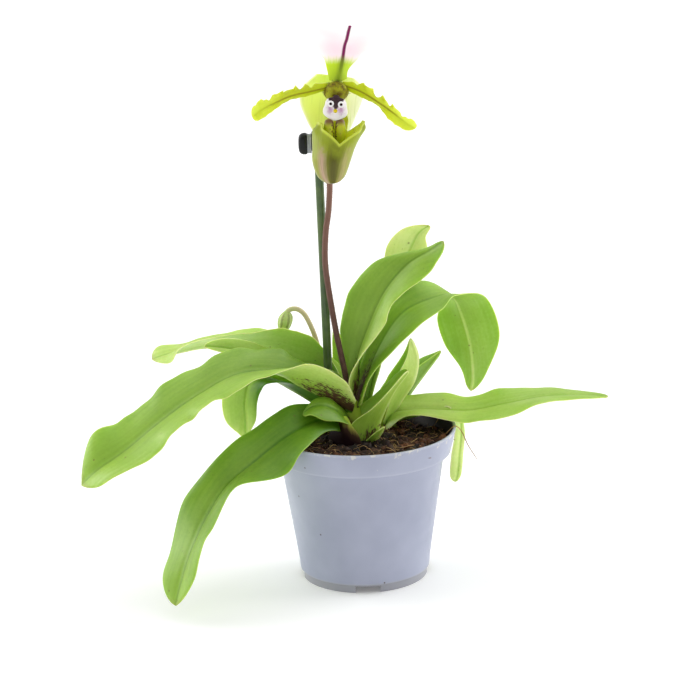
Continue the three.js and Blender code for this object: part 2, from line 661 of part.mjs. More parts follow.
function staminodeSolid() {
  const s = staminode;
  const [w, h] = [s.width / 2, s.height / 2];
  const outline = new THREE.Shape();
  outline.moveTo(0, -h);
  outline.bezierCurveTo(w * 0.7, -h * 0.8, w, -h * 0.3, w, 0);
  outline.bezierCurveTo(w, h * 0.5, w * 0.75, h, w * 0.35, h);
  outline.quadraticCurveTo(0, h * 0.75, -w * 0.35, h);
  outline.bezierCurveTo(-w * 0.75, h, -w, h * 0.5, -w, 0);
  outline.bezierCurveTo(-w, -h * 0.3, -w * 0.7, -h * 0.8, 0, -h);
  const shield = new THREE.ExtrudeGeometry(outline, {
    depth: s.thickness, bevelEnabled: false, curveSegments: 6,
  });
  let solid = toSolid(shield);
  for (const side of [-1, 1]) {
    const eye = new THREE.TorusGeometry(s.eyeRadius, s.eyeTube, 6, 12);
    eye.translate((side * s.eyeSpacing) / 2, s.eyeRise, s.thickness);
    solid = solid.add(toSolid(eye));
  }
  const boss = new THREE.SphereGeometry(s.bossRadius, 10, 8);
  boss.translate(0, s.bossRise, s.thickness);
  solid = solid.add(toSolid(boss));
  const neckLength = s.neckReach - s.centre[1];
  const neck = new THREE.CylinderGeometry(s.neckRadius, s.neckRadius, neckLength, 10);
  neck.rotateX(Math.PI / 2);
  neck.translate(0, s.neckRise, s.thickness / 2 - neckLength / 2);
  const placed = toGeometry(solid.add(toSolid(neck)));
  placed.rotateX(Math.PI / 2);
  placed.rotateY(radians(s.lean));
  placed.translate(...s.centre);
  return toSolid(placed);
}

// ---- Bud ----

function budGeometry() {
  const [top, foot] = [vector(bud.top), vector(bud.foot)];
  const { sides, levels, ends, fullness, leastRadius } = bud;
  const rings = Array.from({ length: levels + 1 }, (_, level) => {
    const share = level / levels;
    const centre = foot.clone().lerp(top, share);
    const swell = Math.sin(Math.PI * THREE.MathUtils.lerp(...ends, share)) ** fullness;
    const radius = Math.max(bud.radius * swell, leastRadius);
    return Array.from({ length: sides }, (__, i) => {
      const turn = (2 * Math.PI * i) / sides;
      const ridge = Math.abs(Math.cos((bud.ridges * turn) / 2)) - 2 / Math.PI; // about its mean
      const ridged = radius * (1 + bud.ridgeDepth * ridge);
      return new THREE.Vector3(
        centre.x + ridged * Math.cos(turn), centre.y + ridged * Math.sin(turn), centre.z);
    });
  });
  return loft(rings);
}

// ---- Clip: a split ring round stake and scape, with a grip outside it ----

function placeAt(route, height) {
  const curve = curveThrough(route);
  let [low, high] = [0, 1];
  for (let k = 0; k < 30; k += 1) {
    const middle = (low + high) / 2;
    if (curve.getPoint(middle).z < height) low = middle;
    else high = middle;
  }
  return curve.getPoint(low);
}

// The outline round the stake and the scape at the clip's mid height, "margin" away from both
function clipOutline(margin) {
  const middle = (clip.low + clip.high) / 2;
  const [a, b] = [placeAt(stakeRoute, middle), placeAt(scapeRoute, middle)];
  const along = Math.atan2(b.y - a.y, b.x - a.x);
  const outline = new THREE.Shape();
  outline.absarc(a.x, a.y, stem.stake + margin, along + Math.PI / 2, along + (3 * Math.PI) / 2);
  outline.absarc(b.x, b.y, stem.scape + margin, along - Math.PI / 2, along + Math.PI / 2);
  return { outline, far: b, along };
}

function clipRingSolid() {
  const height = clip.high - clip.low;
  const over = 1; // how far the cutters pass the ring
  const outer = clipOutline(clip.room + clip.wall);
  const inner = clipOutline(clip.room);
  const options = { bevelEnabled: false, curveSegments: 10 };
  const shell = new THREE.ExtrudeGeometry(outer.outline, { ...options, depth: height });
  shell.translate(0, 0, clip.low);
  const room = new THREE.ExtrudeGeometry(inner.outline, { ...options, depth: height + 2 * over });
  room.translate(0, 0, clip.low - over);
  const reach = stem.scape + clip.room + clip.wall + over;
  const slit = new THREE.BoxGeometry(reach, clip.slitWidth, height + 2 * over);
  slit.translate(reach / 2, 0, 0);
  slit.rotateZ(outer.along);
  slit.translate(outer.far.x, outer.far.y, (clip.low + clip.high) / 2);
  return cutBy(toSolid(shell), [toSolid(room), toSolid(slit)]);
}

function clipGripGeometry() {
  const { gripWidth: w, gripHeight: h, gripDepth: depth, gripCorner: corner, gripCentre } = clip;
  const outline = new THREE.Shape();
  outline.moveTo(w / 2, -h / 2);
  outline.lineTo(w / 2, h / 2);
  outline.lineTo(-w / 2 + corner, h / 2);
  outline.quadraticCurveTo(-w / 2, h / 2, -w / 2, h / 2 - corner);
  outline.lineTo(-w / 2, -h / 2 + corner);
  outline.quadraticCurveTo(-w / 2, -h / 2, -w / 2 + corner, -h / 2);
  outline.closePath();
  const grip = new THREE.ExtrudeGeometry(outline, { depth, bevelEnabled: false, curveSegments: 6 });
  grip.rotateX(Math.PI / 2);
  grip.translate(gripCentre[0], gripCentre[1] + depth / 2, gripCentre[2]);
  return grip;
}

function clipBandGeometry() {
  const [x, y, z] = clip.gripCentre;
  const band = new THREE.BoxGeometry(clip.bandWidth, clip.bandDepth, clip.bandHeight);
  band.translate(x + clip.gripWidth / 2 + gap + clip.bandWidth / 2, y, z);
  return band;
}

// ---- Assembly ----

const material = (color, roughness) => new THREE.MeshStandardMaterial({ color, roughness, metalness: 0 });

const looks = {
  pot: material('#a9aebf', 0.5),
  soil: material('#3a241a', 0.95),
  crown: material('#4a2a2a', 0.6),
  stake: material('#2f4a2c', 0.5),
  grip: material('#15181a', 0.4),
  band: material('#8f9499', 0.35),
  scape: material('#6b3a3a', 0.6),
  leaf: material('#6fa02e', 0.45),
  paleLeaf: material('#a9cf6a', 0.45),
  green: material('#a8c43a', 0.5),
  pale: material('#dbe89a', 0.5),
  white: material('#f4eaf0', 0.5),
  lip: material('#a9ad4a', 0.45),
  shield: material('#e6d2e4', 0.4),
  bud: material('#93b84a', 0.5),
};

const paleLeaves = ['leaf_back', 'leaf_back_small', 'leaf_left_mid', 'leaf_right_hang', 'leaf_small_back'];

const plant = new THREE.Group();

function addMesh(name, geometry, look) {
  const mesh = new THREE.Mesh(geometry, look);
  mesh.name = name;
  plant.add(mesh);
}

// Route, radius, sides and steps of each stem
const stakeSize = [stakeRoute, stem.stake, 10, 4];
const scapeSize = [scapeRoute, stem.scape, 8, 26];
const ovarySize = [ovaryRoute, stem.ovary, 10, 6];
const budScapeSize = [budScapeRoute, stem.budScape, 6, 20];

const crownRoom = crownSolid(gap);
const stakeRoom = toSolid(rod(...stakeSize, gap));
const scapeRoom = toSolid(rod(...scapeSize, gap));
const ovaryRoom = toSolid(rod(...ovarySize, gap));
const budScapeRoom = toSolid(rod(...budScapeSize, gap));
const columnRoom = toSolid(columnGeometry(gap));

addMesh('pot', toGeometry(potSolid()), looks.pot);
addMesh('growing_medium', toGeometry(cutBy(toSolid(soilGeometry()), [crownRoom, stakeRoom])), looks.soil);
addMesh('crown', toGeometry(crownSolid()), looks.crown);
addMesh('stake', rod(...stakeSize), looks.stake);
addMesh('scape', toGeometry(cutBy(toSolid(rod(...scapeSize)), [crownRoom])), looks.scape);
addMesh('bud_scape', toGeometry(cutBy(toSolid(rod(...budScapeSize)), [crownRoom])), looks.scape);
addMesh('bud', toGeometry(cutBy(toSolid(budGeometry()), [budScapeRoom])), looks.bud);
addMesh('clip_ring', toGeometry(clipRingSolid()), looks.grip);
addMesh('clip_band', clipBandGeometry(), looks.band);
addMesh('clip_grip', clipGripGeometry(), looks.grip);

// Each leaf gives way to the stems and to the leaves before it
const taken = [crownRoom, stakeRoom, scapeRoom, budScapeRoom];
for (const [name, shape] of Object.entries(leaves)) {
  const look = paleLeaves.includes(name) ? looks.paleLeaf : looks.leaf;
  addMesh(name, toGeometry(cutBy(bladeSolid(shape), taken)), look);
  taken.push(bladeClearance(shape));
}

addMesh('ovary', toGeometry(cutBy(toSolid(rod(...ovarySize)), [scapeRoom])), looks.green);
addMesh('bract', toGeometry(cutBy(bladeSolid(bract), [scapeRoom, ovaryRoom])), looks.green);
addMesh('column', toGeometry(cutBy(toSolid(columnGeometry()), [ovaryRoom])), looks.lip);

const bloomLooks = { synsepal: looks.pale, dorsal_sepal: looks.white };
const bloomTaken = [ovaryRoom, columnRoom];
for (const [name, shape] of Object.entries(bloomBlades)) {
  addMesh(name, toGeometry(cutBy(bladeSolid(shape), bloomTaken)), bloomLooks[name] ?? looks.green);
  bloomTaken.push(bladeClearance(shape));
}
addMesh('lip', toGeometry(cutBy(toSolid(lipGeometry()), bloomTaken)), looks.lip);
addMesh('staminode', toGeometry(cutBy(staminodeSolid(), bloomTaken)), looks.shield);

// The origin goes to the middle of the footprint, on the surface that the pot stands on
const box = new THREE.Box3().setFromObject(plant);
plant.position.set(-(box.min.x + box.max.x) / 2, -(box.min.y + box.max.y) / 2, -box.min.z);

const orchid = new THREE.Group();
orchid.add(plant);

export default orchid;
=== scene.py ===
"""The finish of a potted slipper orchid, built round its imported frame.

Points and sizes are millimetres from the pot's axis at the surface that it stands on, with +Z up and the
bloom facing -Y. to_row() turns them into the frame's metres.
"""

import json
import math
import random
from functools import partial

import bmesh
import bpy
import numpy as np
from mathutils import Matrix, Vector

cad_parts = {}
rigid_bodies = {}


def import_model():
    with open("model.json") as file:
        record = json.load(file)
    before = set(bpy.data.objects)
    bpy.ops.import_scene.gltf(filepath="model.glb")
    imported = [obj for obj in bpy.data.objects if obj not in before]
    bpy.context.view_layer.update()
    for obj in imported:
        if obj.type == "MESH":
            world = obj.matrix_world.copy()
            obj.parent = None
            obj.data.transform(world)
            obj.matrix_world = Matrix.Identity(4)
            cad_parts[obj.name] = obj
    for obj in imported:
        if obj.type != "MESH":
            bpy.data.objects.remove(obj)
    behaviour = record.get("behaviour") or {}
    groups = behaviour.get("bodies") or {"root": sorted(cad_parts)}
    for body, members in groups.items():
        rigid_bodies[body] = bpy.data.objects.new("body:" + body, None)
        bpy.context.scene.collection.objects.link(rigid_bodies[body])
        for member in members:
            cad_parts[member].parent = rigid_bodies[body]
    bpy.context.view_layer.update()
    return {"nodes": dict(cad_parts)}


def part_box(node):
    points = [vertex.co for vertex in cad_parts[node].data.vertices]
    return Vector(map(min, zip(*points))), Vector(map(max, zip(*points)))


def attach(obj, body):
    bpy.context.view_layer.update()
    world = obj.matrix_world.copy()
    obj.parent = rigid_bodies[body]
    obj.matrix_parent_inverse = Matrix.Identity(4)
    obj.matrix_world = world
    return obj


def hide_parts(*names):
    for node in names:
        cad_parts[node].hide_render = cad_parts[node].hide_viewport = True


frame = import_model()

MM = 0.001
BODY = "root"
pot_low, pot_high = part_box("pot")
AXIS = np.array([(pot_low.x + pot_high.x) / 2, (pot_low.y + pot_high.y) / 2, 0.0])


def to_row(points):
    """Millimetres about the pot's axis, as metres in the row frame."""
    return np.asarray(points, float) * MM + AXIS


# ---------------------------------------------------------------- Camera, floor and light

FOCAL_PIXELS = 2200.0
IMAGE_PIXELS = 700
SENSOR = 36.0
CAMERA_RISE = math.radians(14.8)
CAMERA_ROLL = math.radians(1.7)
CAMERA_DISTANCE = 1034.0
CAMERA_TARGET = Vector((-4.2, 0.0, 110.3))


def add_camera():
    back = Vector((0, -math.cos(CAMERA_RISE), math.sin(CAMERA_RISE)))
    right = Vector((1, 0, 0))
    up = Vector((0, math.sin(CAMERA_RISE), math.cos(CAMERA_RISE)))
    across = math.cos(CAMERA_ROLL) * right - math.sin(CAMERA_ROLL) * up
    upwards = math.sin(CAMERA_ROLL) * right + math.cos(CAMERA_ROLL) * up
    camera = bpy.data.objects.new("camera", bpy.data.cameras.new("camera"))
    camera.data.sensor_width = SENSOR
    camera.data.lens = FOCAL_PIXELS / IMAGE_PIXELS * SENSOR
    camera.data.clip_start = 0.05
    camera.data.clip_end = 50
    turn = Matrix((across, upwards, back)).transposed().to_4x4()
    camera.matrix_world = Matrix.Translation(Vector(to_row(CAMERA_TARGET + back * CAMERA_DISTANCE))) @ turn
    bpy.context.scene.collection.objects.link(camera)
    bpy.context.scene.camera = camera


def add_light(name, travel, strength, spread):
    """An even soft light that travels along a direction, from a lamp that looks as wide as spread degrees."""
    lamp = bpy.data.lights.new(name, "SUN")
    lamp.energy = strength
    lamp.angle = math.radians(spread)
    light = bpy.data.objects.new(name, lamp)
    light.rotation_euler = Vector(travel).to_track_quat("-Z", "Y").to_euler()
    bpy.context.scene.collection.objects.link(light)


def add_studio():
    scene = bpy.context.scene
    scene.view_settings.view_transform = "Standard"
    world = bpy.data.worlds.new("soft_box_room")
    world.use_nodes = True
    world.node_tree.nodes.clear()
    sky = node(world.node_tree, "ShaderNodeBackground", {"Color": "#FFFFFF", "Strength": 0.55})
    node(world.node_tree, "ShaderNodeOutputWorld", {"Surface": sky})
    scene.world = world
    add_light("top_light", (-0.1, -0.35, -1.0), 0.85, 70)
    add_light("left_light", (1.0, -0.3, -0.45), 1.6, 50)
    add_light("right_light", (-1.0, -0.3, -0.45), 1.95, 50)
    paper, add = new_material("backdrop_paper")
    glow = {"Emission_Color": colour("#FFFFFF"), "Emission_Strength": 0.12}
    finish_surface(paper, add, colour("#FBFBFB"), 0.9, Specular_IOR_Level=0.1, **glow)
    bpy.ops.mesh.primitive_plane_add(size=16, location=(0, 0, 0))
    floor = bpy.context.object
    floor.name = "floor"
    floor.data.materials.append(paper)


# ---------------------------------------------------------------- Nodes and colours

FACT = "ShaderNodeAttribute"
PLACE = "ShaderNodeTexCoord"
JOIN = "ShaderNodeCombineXYZ"
NOISE = "ShaderNodeTexNoise"
CELLS = "ShaderNodeTexVoronoi"
RANGE = "ShaderNodeMapRange"
MATH = "ShaderNodeMath"
MIX = "ShaderNodeMix"
RAMP = "ShaderNodeValToRGB"
BUMP = "ShaderNodeBump"
COLOURS = {"data_type": "RGBA"}
SMOOTH = {"interpolation_type": "SMOOTHSTEP"}


def colour(text):
    """A sRGB hex colour as linear red, green, blue and alpha."""
    parts = [int(text[i : i + 2], 16) / 255 for i in (1, 3, 5)]
    return (*[c / 12.92 if c <= 0.04045 else ((c + 0.055) / 1.055) ** 2.4 for c in parts], 1.0)


def node(tree, kind, inputs=(), out=0, stops=(), **settings):
    """Adds a node with its settings and links, and returns one of its outputs.

    Inputs are values, hex colours or sockets, in order or by name. Stops are a ramp's places and colours.
    """
    made = tree.nodes.new(kind)
    for key, value in settings.items():
        setattr(made, key, value)
    open_inputs = [socket for socket in made.inputs if socket.enabled]
    by_name = {socket.name: socket for socket in reversed(open_inputs)}
    for key, value in inputs.items() if isinstance(inputs, dict) else enumerate(inputs):
        socket = by_name[key] if isinstance(key, str) else open_inputs[key]
        if isinstance(value, bpy.types.NodeSocket):
            tree.links.new(value, socket)
        elif isinstance(value, str):
            socket.default_value = colour(value) if value.startswith("#") else value
        else:
            socket.default_value = value
    for k, (place, shade) in enumerate(stops):
        ramp = made.color_ramp.elements
        element = ramp[k] if k < 2 else ramp.new(place)
        element.position = place
        element.color = colour(shade)
    open_outputs = [socket for socket in made.outputs if socket.enabled]
    if isinstance(out, str):
        return made.outputs[out]
    return open_outputs[out] if open_outputs else made


def new_material(name):
    """An empty material, and node() bound to its tree."""
    material = bpy.data.materials.new(name)
    material.use_nodes = True
    material.node_tree.nodes.clear()
    return material, partial(node, material.node_tree)


def finish_surface(material, add, base, roughness, **inputs):
    """Gives a material its shader. The other inputs are the shader's sockets, with _ for a space."""
    sockets = {"Base Color": base, "Roughness": roughness}
    sockets.update({key.replace("_", " "): value for key, value in inputs.items()})
    shader = add("ShaderNodeBsdfPrincipled", sockets)
    add("ShaderNodeOutputMaterial", {"Surface": shader})
    return material


# ---------------------------------------------------------------- Curves and meshes


def catmull_rom(points, places):
    """Points on the even Catmull-Rom curve through some points, at shares of its parameter."""
    p = np.asarray(points, float)
    p = np.vstack([2 * p[0] - p[1], p, 2 * p[-1] - p[-2]])
    place = np.clip(places, 0, 1) * (len(p) - 3)
    k = np.minimum(place.astype(int), len(p) - 4)
    w = (place - k)[:, None]
    start, end = p[k + 1], p[k + 2]
    leave, arrive = (p[k + 2] - p[k]) / 2, (p[k + 3] - p[k + 1]) / 2
    bend = 3 * w**2 - 2 * w**3
    return (1 - bend) * start + bend * end + (w**3 - 2 * w**2 + w) * leave + (w**3 - w**2) * arrive


def even_places(points, shares):
    """The curve's parameters at shares of its length, and its length."""
    fine = np.linspace(0, 1, 201)
    steps = np.linalg.norm(np.diff(catmull_rom(points, fine), axis=0), axis=1)
    lengths = np.concatenate([[0], np.cumsum(steps)])
    return np.interp(np.asarray(shares) * lengths[-1], lengths, fine), lengths[-1]


def unit(vectors):
    """Vectors at a length of one."""
    return vectors / np.maximum(np.linalg.norm(vectors, axis=-1, keepdims=True), 1e-9)


def smooth_step(low, high, value):
    """0 at low and 1 at high, with a soft start and end."""
    t = np.clip((np.asarray(value, float) - low) / (high - low), 0, 1)
    return t * t * (3 - 2 * t)


def add_mesh(name, points, faces, finish, facts=None):
    """A closed, outward-facing mesh of points in millimetres, with facts at its points for its finish."""
    mesh = bpy.data.meshes.new(name)
    mesh.from_pydata(to_row(points).tolist(), [], faces)
    for key, numbers in (facts or {}).items():
        layer = mesh.attributes.new(key, "FLOAT", "POINT")
        layer.data.foreach_set("value", np.ravel(numbers).astype(np.float32))
    shape = bmesh.new()
    shape.from_mesh(mesh)
    bmesh.ops.remove_doubles(shape, verts=shape.verts, dist=1e-6)
    bmesh.ops.dissolve_degenerate(shape, edges=shape.edges, dist=1e-7)
    bmesh.ops.recalc_face_normals(shape, faces=shape.faces)
    shape.to_mesh(mesh)
    shape.free()
    mesh.polygons.foreach_set("use_smooth", [True] * len(mesh.polygons))
    mesh.materials.append(finish)
    piece = bpy.data.objects.new(name, mesh)
    bpy.context.scene.collection.objects.link(piece)
    return piece


def keep(piece, slot, *nodes):
    """Makes a piece part of the plant, in the place of some of its plain solids."""
    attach(piece, BODY)
    if nodes:
        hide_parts(*nodes)
    return piece


def loft_faces(levels, around, start=0):
    """The faces of a skin over rings of points, with a cap on the first ring and on the last."""
    faces = []
    for level in range(levels - 1):
        for i in range(around):
            a = start + level * around + i
            b = start + level * around + (i + 1) % around
            faces.append((a, b, b + around, a + around))
    faces.append(tuple(start + i for i in range(around - 1, -1, -1)))
    faces.append(tuple(start + i for i in range((levels - 1) * around, levels * around)))
    return faces


def joined(skins):
    """Several skins of rings as one list of points and one of faces."""
    points, faces = [], []
    for rings in skins:
        levels, around = rings.shape[:2]
        faces += loft_faces(levels, around, len(points))
        points += rings.reshape(-1, 3).tolist()
    return np.array(points), faces


def tube_rings(route, radii, around, levels, end_round=0.0):
    """Rings of points round a route, with no twist. The radii are spread evenly from its start to its end."""
    share = np.linspace(0, 1, levels)
    places, length = even_places(route, share)
    centres = catmull_rom(route, places)
    tangents = unit(np.gradient(centres, axis=0))
    side = unit(np.cross(tangents[0], [0.3, 0.9, 0.2]))
    turn = np.linspace(0, 2 * math.pi, around, endpoint=False)
    radius = np.interp(share, np.linspace(0, 1, len(radii)), radii)
    if end_round:
        left = np.minimum(share, 1 - share) * length / end_round
        radius = radius * np.sqrt(np.clip(1 - np.clip(1 - left, 0, 1) ** 2, 0.02, 1))
    rings = []
    for centre, tangent, r in zip(centres, tangents, radius):
        side = unit(side - tangent * np.dot(side, tangent))
        other = np.cross(tangent, side)
        rings.append(centre + r * (np.cos(turn)[:, None] * side + np.sin(turn)[:, None] * other))
    return np.array(rings)


def add_tube(name, route, radii, finish, around=24, levels=90, end_round=0.0):
    """A round stem along a route."""
    rings = tube_rings(route, radii, around, levels, end_round)
    facts = {
        "along": np.repeat(np.linspace(0, 1, levels), around),
        "turn": np.tile(np.arange(around) / around, levels),
        "cover": np.ones(levels * around),
    }
    return add_mesh(name, rings.reshape(-1, 3), loft_faces(levels, around), finish, facts)


def baked(piece, modifier):
    """The mesh that a modifier makes of a piece, which then loses the modifier."""
    view = bpy.context.evaluated_depsgraph_get()
    mesh = bpy.data.meshes.new_from_object(piece.evaluated_get(view), depsgraph=view)
    piece.modifiers.remove(modifier)
    return mesh


# ---------------------------------------------------------------- Scattered pieces


def scatter_tree():
    """Geometry nodes that stand a set of small shapes all over a surface, by chance, as real mesh."""
    tree = bpy.data.node_groups.new("Scatter", "GeometryNodeTree")
    kinds = {
        "Surface": "Geometry", "Shapes": "Collection", "Per square metre": "Float", "Seed": "Int",
        "Smallest": "Float", "Largest": "Float", "Lean": "Float", "Finish": "Material",
    }
    for label, kind in kinds.items():
        tree.interface.new_socket(name=label, in_out="INPUT", socket_type="NodeSocket" + kind)
    tree.interface.new_socket(name="Pieces", in_out="OUTPUT", socket_type="NodeSocketGeometry")
    add = partial(node, tree)
    given = add("NodeGroupInput").node.outputs
    cover = add("GeometryNodeInputNamedAttribute", ("cover",), data_type="FLOAT")
    density = add(MATH, (given["Per square metre"], cover), operation="MULTIPLY")
    where = {"Mesh": given["Surface"], "Density": density, "Seed": given["Seed"]}
    points = add("GeometryNodeDistributePointsOnFaces", where)
    upright = points.node.outputs["Rotation"]
    least_lean = add(MATH, (given["Lean"], -1.0), operation="MULTIPLY")
    low = add(JOIN, (least_lean, least_lean, -math.pi))
    high = add(JOIN, (given["Lean"], given["Lean"], math.pi))
    chance = {"Min": low, "Max": high, "Seed": given["Seed"]}
    lean = add("FunctionNodeRandomValue", chance, data_type="FLOAT_VECTOR")
    turned = add("FunctionNodeRotateRotation", (upright, lean), rotation_space="LOCAL")
    chance = {"Min": given["Smallest"], "Max": given["Largest"], "Seed": given["Seed"]}
    size = add("FunctionNodeRandomValue", chance, data_type="FLOAT")
    pool = {"Collection": given["Shapes"], "Separate Children": True, "Reset Children": True}
    shapes = add("GeometryNodeCollectionInfo", pool)
    placed = add("GeometryNodeInstanceOnPoints", {
        "Points": points, "Instance": shapes, "Pick Instance": True, "Rotation": turned, "Scale": size,
    })
    real = add("GeometryNodeRealizeInstances", {"Geometry": placed})
    dressed = add("GeometryNodeSetMaterial", {"Geometry": real, "Material": given["Finish"]})
    add("NodeGroupOutput", (dressed,))
    return tree


def scatter(name, surface, shapes, finish, **settings):
    """Stands shapes all over a piece, as its cover fact says, and returns them as one new piece."""
    tree = bpy.data.node_groups.get("Scatter") or scatter_tree()
    pool = bpy.data.collections.new(name + "_shapes")
    bpy.context.scene.collection.children.link(pool)
    for k, (points, faces) in enumerate(shapes):
        mesh = bpy.data.meshes.new(f"{name}_shape_{k}")
        mesh.from_pydata((np.asarray(points) * MM).tolist(), [], faces)
        mesh.polygons.foreach_set("use_smooth", [True] * len(mesh.polygons))
        pool.objects.link(bpy.data.objects.new(mesh.name, mesh))
    modifier = surface.modifiers.new("Scatter", "NODES")
    modifier.node_group = tree
    values = {"Shapes": pool, "Finish": finish}
    values.update({key.replace("_", " "): value for key, value in settings.items()})
    for item in tree.interface.items_tree:
        if item.in_out == "INPUT" and item.name in values:
            modifier[item.identifier] = values[item.name]
    made = bpy.data.objects.new(name, baked(surface, modifier))
    for piece in list(pool.objects):
        bpy.data.objects.remove(piece)
    bpy.data.collections.remove(pool)
    bpy.context.scene.collection.objects.link(made)
    return made


CHIP_POINTS = 16


def chip_shapes(count, size, seed):
    """Angular lumps: the hulls of points thrown near the corners of a box."""
    rng = random.Random(seed)
    shapes = []
    for _ in range(count):
        lump = bmesh.new()
        for _ in range(CHIP_POINTS):
            lump.verts.new([rng.choice((-0.5, 0.5)) * s * rng.uniform(0.55, 1) for s in size])
        bmesh.ops.convex_hull(lump, input=lump.verts)
        inner = [vertex for vertex in lump.verts if not vertex.link_faces]
        bmesh.ops.delete(lump, geom=inner, context="VERTS")
        lump.verts.index_update()
        points = [tuple(v.co) for v in lump.verts]
        shapes.append((points, [tuple(v.index for v in f.verts) for f in lump.faces]))
        lump.free()
    return shapes


def fibre_shapes(count, length, radius, bend, seed):
    """Thin three-sided strands that lie along X and bow out of line."""
    rng = random.Random(seed)
    shapes = []
    for _ in range(count):
        reach = length * rng.uniform(0.6, 1)
        route = [
            [reach * (k / 4 - 0.5), bend * reach * rng.uniform(-1, 1), bend * reach * rng.uniform(-0.3, 1)]
            for k in range(5)
        ]
        rings = tube_rings(route, [radius, radius, radius * 0.5], 3, 8)
        shapes.append((rings.reshape(-1, 3), loft_faces(8, 3)))
    return shapes


def hair_shapes(count, length, radius, seed):
    """Thin tapered hairs that stand along Z."""
    rng = random.Random(seed)
    shapes = []
    for _ in range(count):
        lean = [length * 0.4 * rng.uniform(-1, 1) for _ in range(2)]
        route = [[0, 0, -radius], [lean[0] * 0.3, lean[1] * 0.3, length * 0.5], [lean[0], lean[1], length]]
        rings = tube_rings(route, [radius, radius * 0.7, radius * 0.2], 3, 4)
        shapes.append((rings.reshape(-1, 3), loft_faces(4, 3)))
    return shapes


# ---------------------------------------------------------------- Blades: leaves, sepals and petals

GROOVE_WIDTH = 0.9
CUPPING = 0.2
CROWDING = 1.25
MARGIN_PHASE = 2.1
SECOND_RIPPLE = (0.3, 2.3, 1.1)
DIP_FOLD = 0.6
NARROWEST = 0.04
EDGE_ROUNDING, TIP_ROUNDING = 14, 60
GROOVE_FADE = 2.5
STAIN_FADE = 1.4


def blade_sheet(shape, along, across):
    """The middle surface of a blade from foot to tip and left to right, with facts about each point.

    Dips are folds in one margin: the share of the length, the depth as a share of the half width, and the
    width as a share of the length.
    """
    rows, tip = np.array(shape["rows"], float), np.array(shape["tip"], float)
    closes, power = shape["round"], shape.get("power", 2)
    wave, frill = shape.get("wave", (0, 0)), shape.get("frill", (0, 0))
    dip_side, dips = shape.get("dips", (0, ()))
    rib_points = np.vstack([rows[:, 1], tip])
    share = 1 - (1 - np.linspace(0, 1, along + 1)) ** CROWDING
    places, length = even_places(rib_points, share)
    rib = catmull_rom(rib_points, places)
    tangent = unit(np.gradient(rib, axis=0))
    closing = np.clip((share - closes) / max(1 - closes, 1e-6), 0, 1)
    opening = np.maximum(np.sqrt(np.maximum(1 - closing**power, 0)), NARROWEST)[:, None]
    sides = []
    for k in (0, 2):
        margin = np.vstack([rows[:, k], tip + (rows[-1, k] - rows[-1, 1]) * shape.get("spread", 0.9)])
        sides.append((catmull_rom(margin, places) - rib) * opening)
    half = sum(np.linalg.norm(side, axis=1) for side in sides)[:, None] / 2
    c = np.sin(np.linspace(-math.pi / 2, math.pi / 2, across + 1))[None]
    out, right = np.abs(c), (c > 0).astype(int)
    share = share[:, None]
    edge = out**3 * np.sin(math.pi * share)
    beat = 2 * math.pi * shape.get("waves", 1) * share + MARGIN_PHASE * right
    size, pace, phase = SECOND_RIPPLE
    ripple = np.sin(beat) + size * np.sin(pace * beat + phase)
    lift = half * (CUPPING * out * (1 - out) + np.take(wave, right) * edge * ripple)
    reach = out * (1 + np.take(frill, right) * edge * np.cos(beat))
    for at, depth, width in dips:
        dip = out**2 * np.exp(-(((share - at) / width) ** 2)) * (right == dip_side)
        reach = reach * (1 - depth * dip)
        lift = lift - half * DIP_FOLD * dip
    normal = unit(np.cross(sides[1] - sides[0], tangent))
    to_side = np.where(c[..., None] < 0, sides[0][:, None], sides[1][:, None])
    sheet = rib[:, None] + to_side * reach[..., None] + normal[:, None] * lift[..., None]
    facts = {
        "along": share + 0 * c,
        "side": c * half,
        "edge": (1 - out) * half,
        "distance": share * length + 0 * c,
    }
    return sheet, out + 0 * share, facts


def add_blade(
    name, shape, finish, tones=(0,) * 7, along=110, across=22, rib=1.1, margin=0.7, groove=0.3, keel=0.4
):
    """A blade with a channel along its upper face, a keel under it and a rounded edge.

    Tones are its depths of colour above and below, at foot and tip, what is added left and right of its
    rib at the foot, and how far up its rib it is stained.
    """
    sheet, out, facts = blade_sheet(shape, along, across)
    lengthwise, crosswise = np.gradient(sheet, axis=0), np.gradient(sheet, axis=1)
    normals = unit(np.cross(crosswise, lengthwise))
    share = facts["along"]
    rounding = np.sqrt(np.maximum((1 - out**EDGE_ROUNDING) * (1 - share**TIP_ROUNDING), 0))
    thick = (rib + (margin - rib) * out) / 2 * rounding
    on_rib = np.exp(-((facts["side"] / GROOVE_WIDTH) ** 2)) * smooth_step(0, GROOVE_FADE, facts["edge"])
    upper = sheet + normals * (thick - groove * on_rib)[..., None]
    lower = sheet - normals * (thick + keel * on_rib)[..., None]
    rows, columns = out.shape
    below = rows * columns
    faces = []
    for i in range(rows - 1):
        for a in range(i * columns, i * columns + columns - 1):
            faces.append((a, a + 1, a + columns + 1, a + columns))
            faces.append((below + a, below + a + columns, below + a + columns + 1, below + a + 1))
    faces += [(j + 1, j, below + j, below + j + 1) for j in range(columns - 1)]
    rim = (out > 0.999) | (share > 0.999)
    both = {key: np.tile(value.ravel(), 2) for key, value in facts.items()}
    both["under"] = np.concatenate([np.where(rim, 0.5, 0).ravel(), np.where(rim, 0.5, 1).ravel()])
    upper_foot, upper_tip, under_foot, under_tip, left, right, stain = tones
    halves = np.where(facts["side"] < 0, left, right) * out * (1 - share)
    upper_tone = upper_foot + (upper_tip - upper_foot) * share + halves
    under_tone = under_foot + (under_tip - under_foot) * share + halves
    both["tone"] = np.concatenate([upper_tone.ravel(), under_tone.ravel()])
    both["stain"] = np.tile((facts["distance"] / (stain or 1) + STAIN_FADE * out**2).ravel(), 2)
    points = np.concatenate([upper.reshape(-1, 3), lower.reshape(-1, 3)])
    return add_mesh(name, points, faces, finish, both)


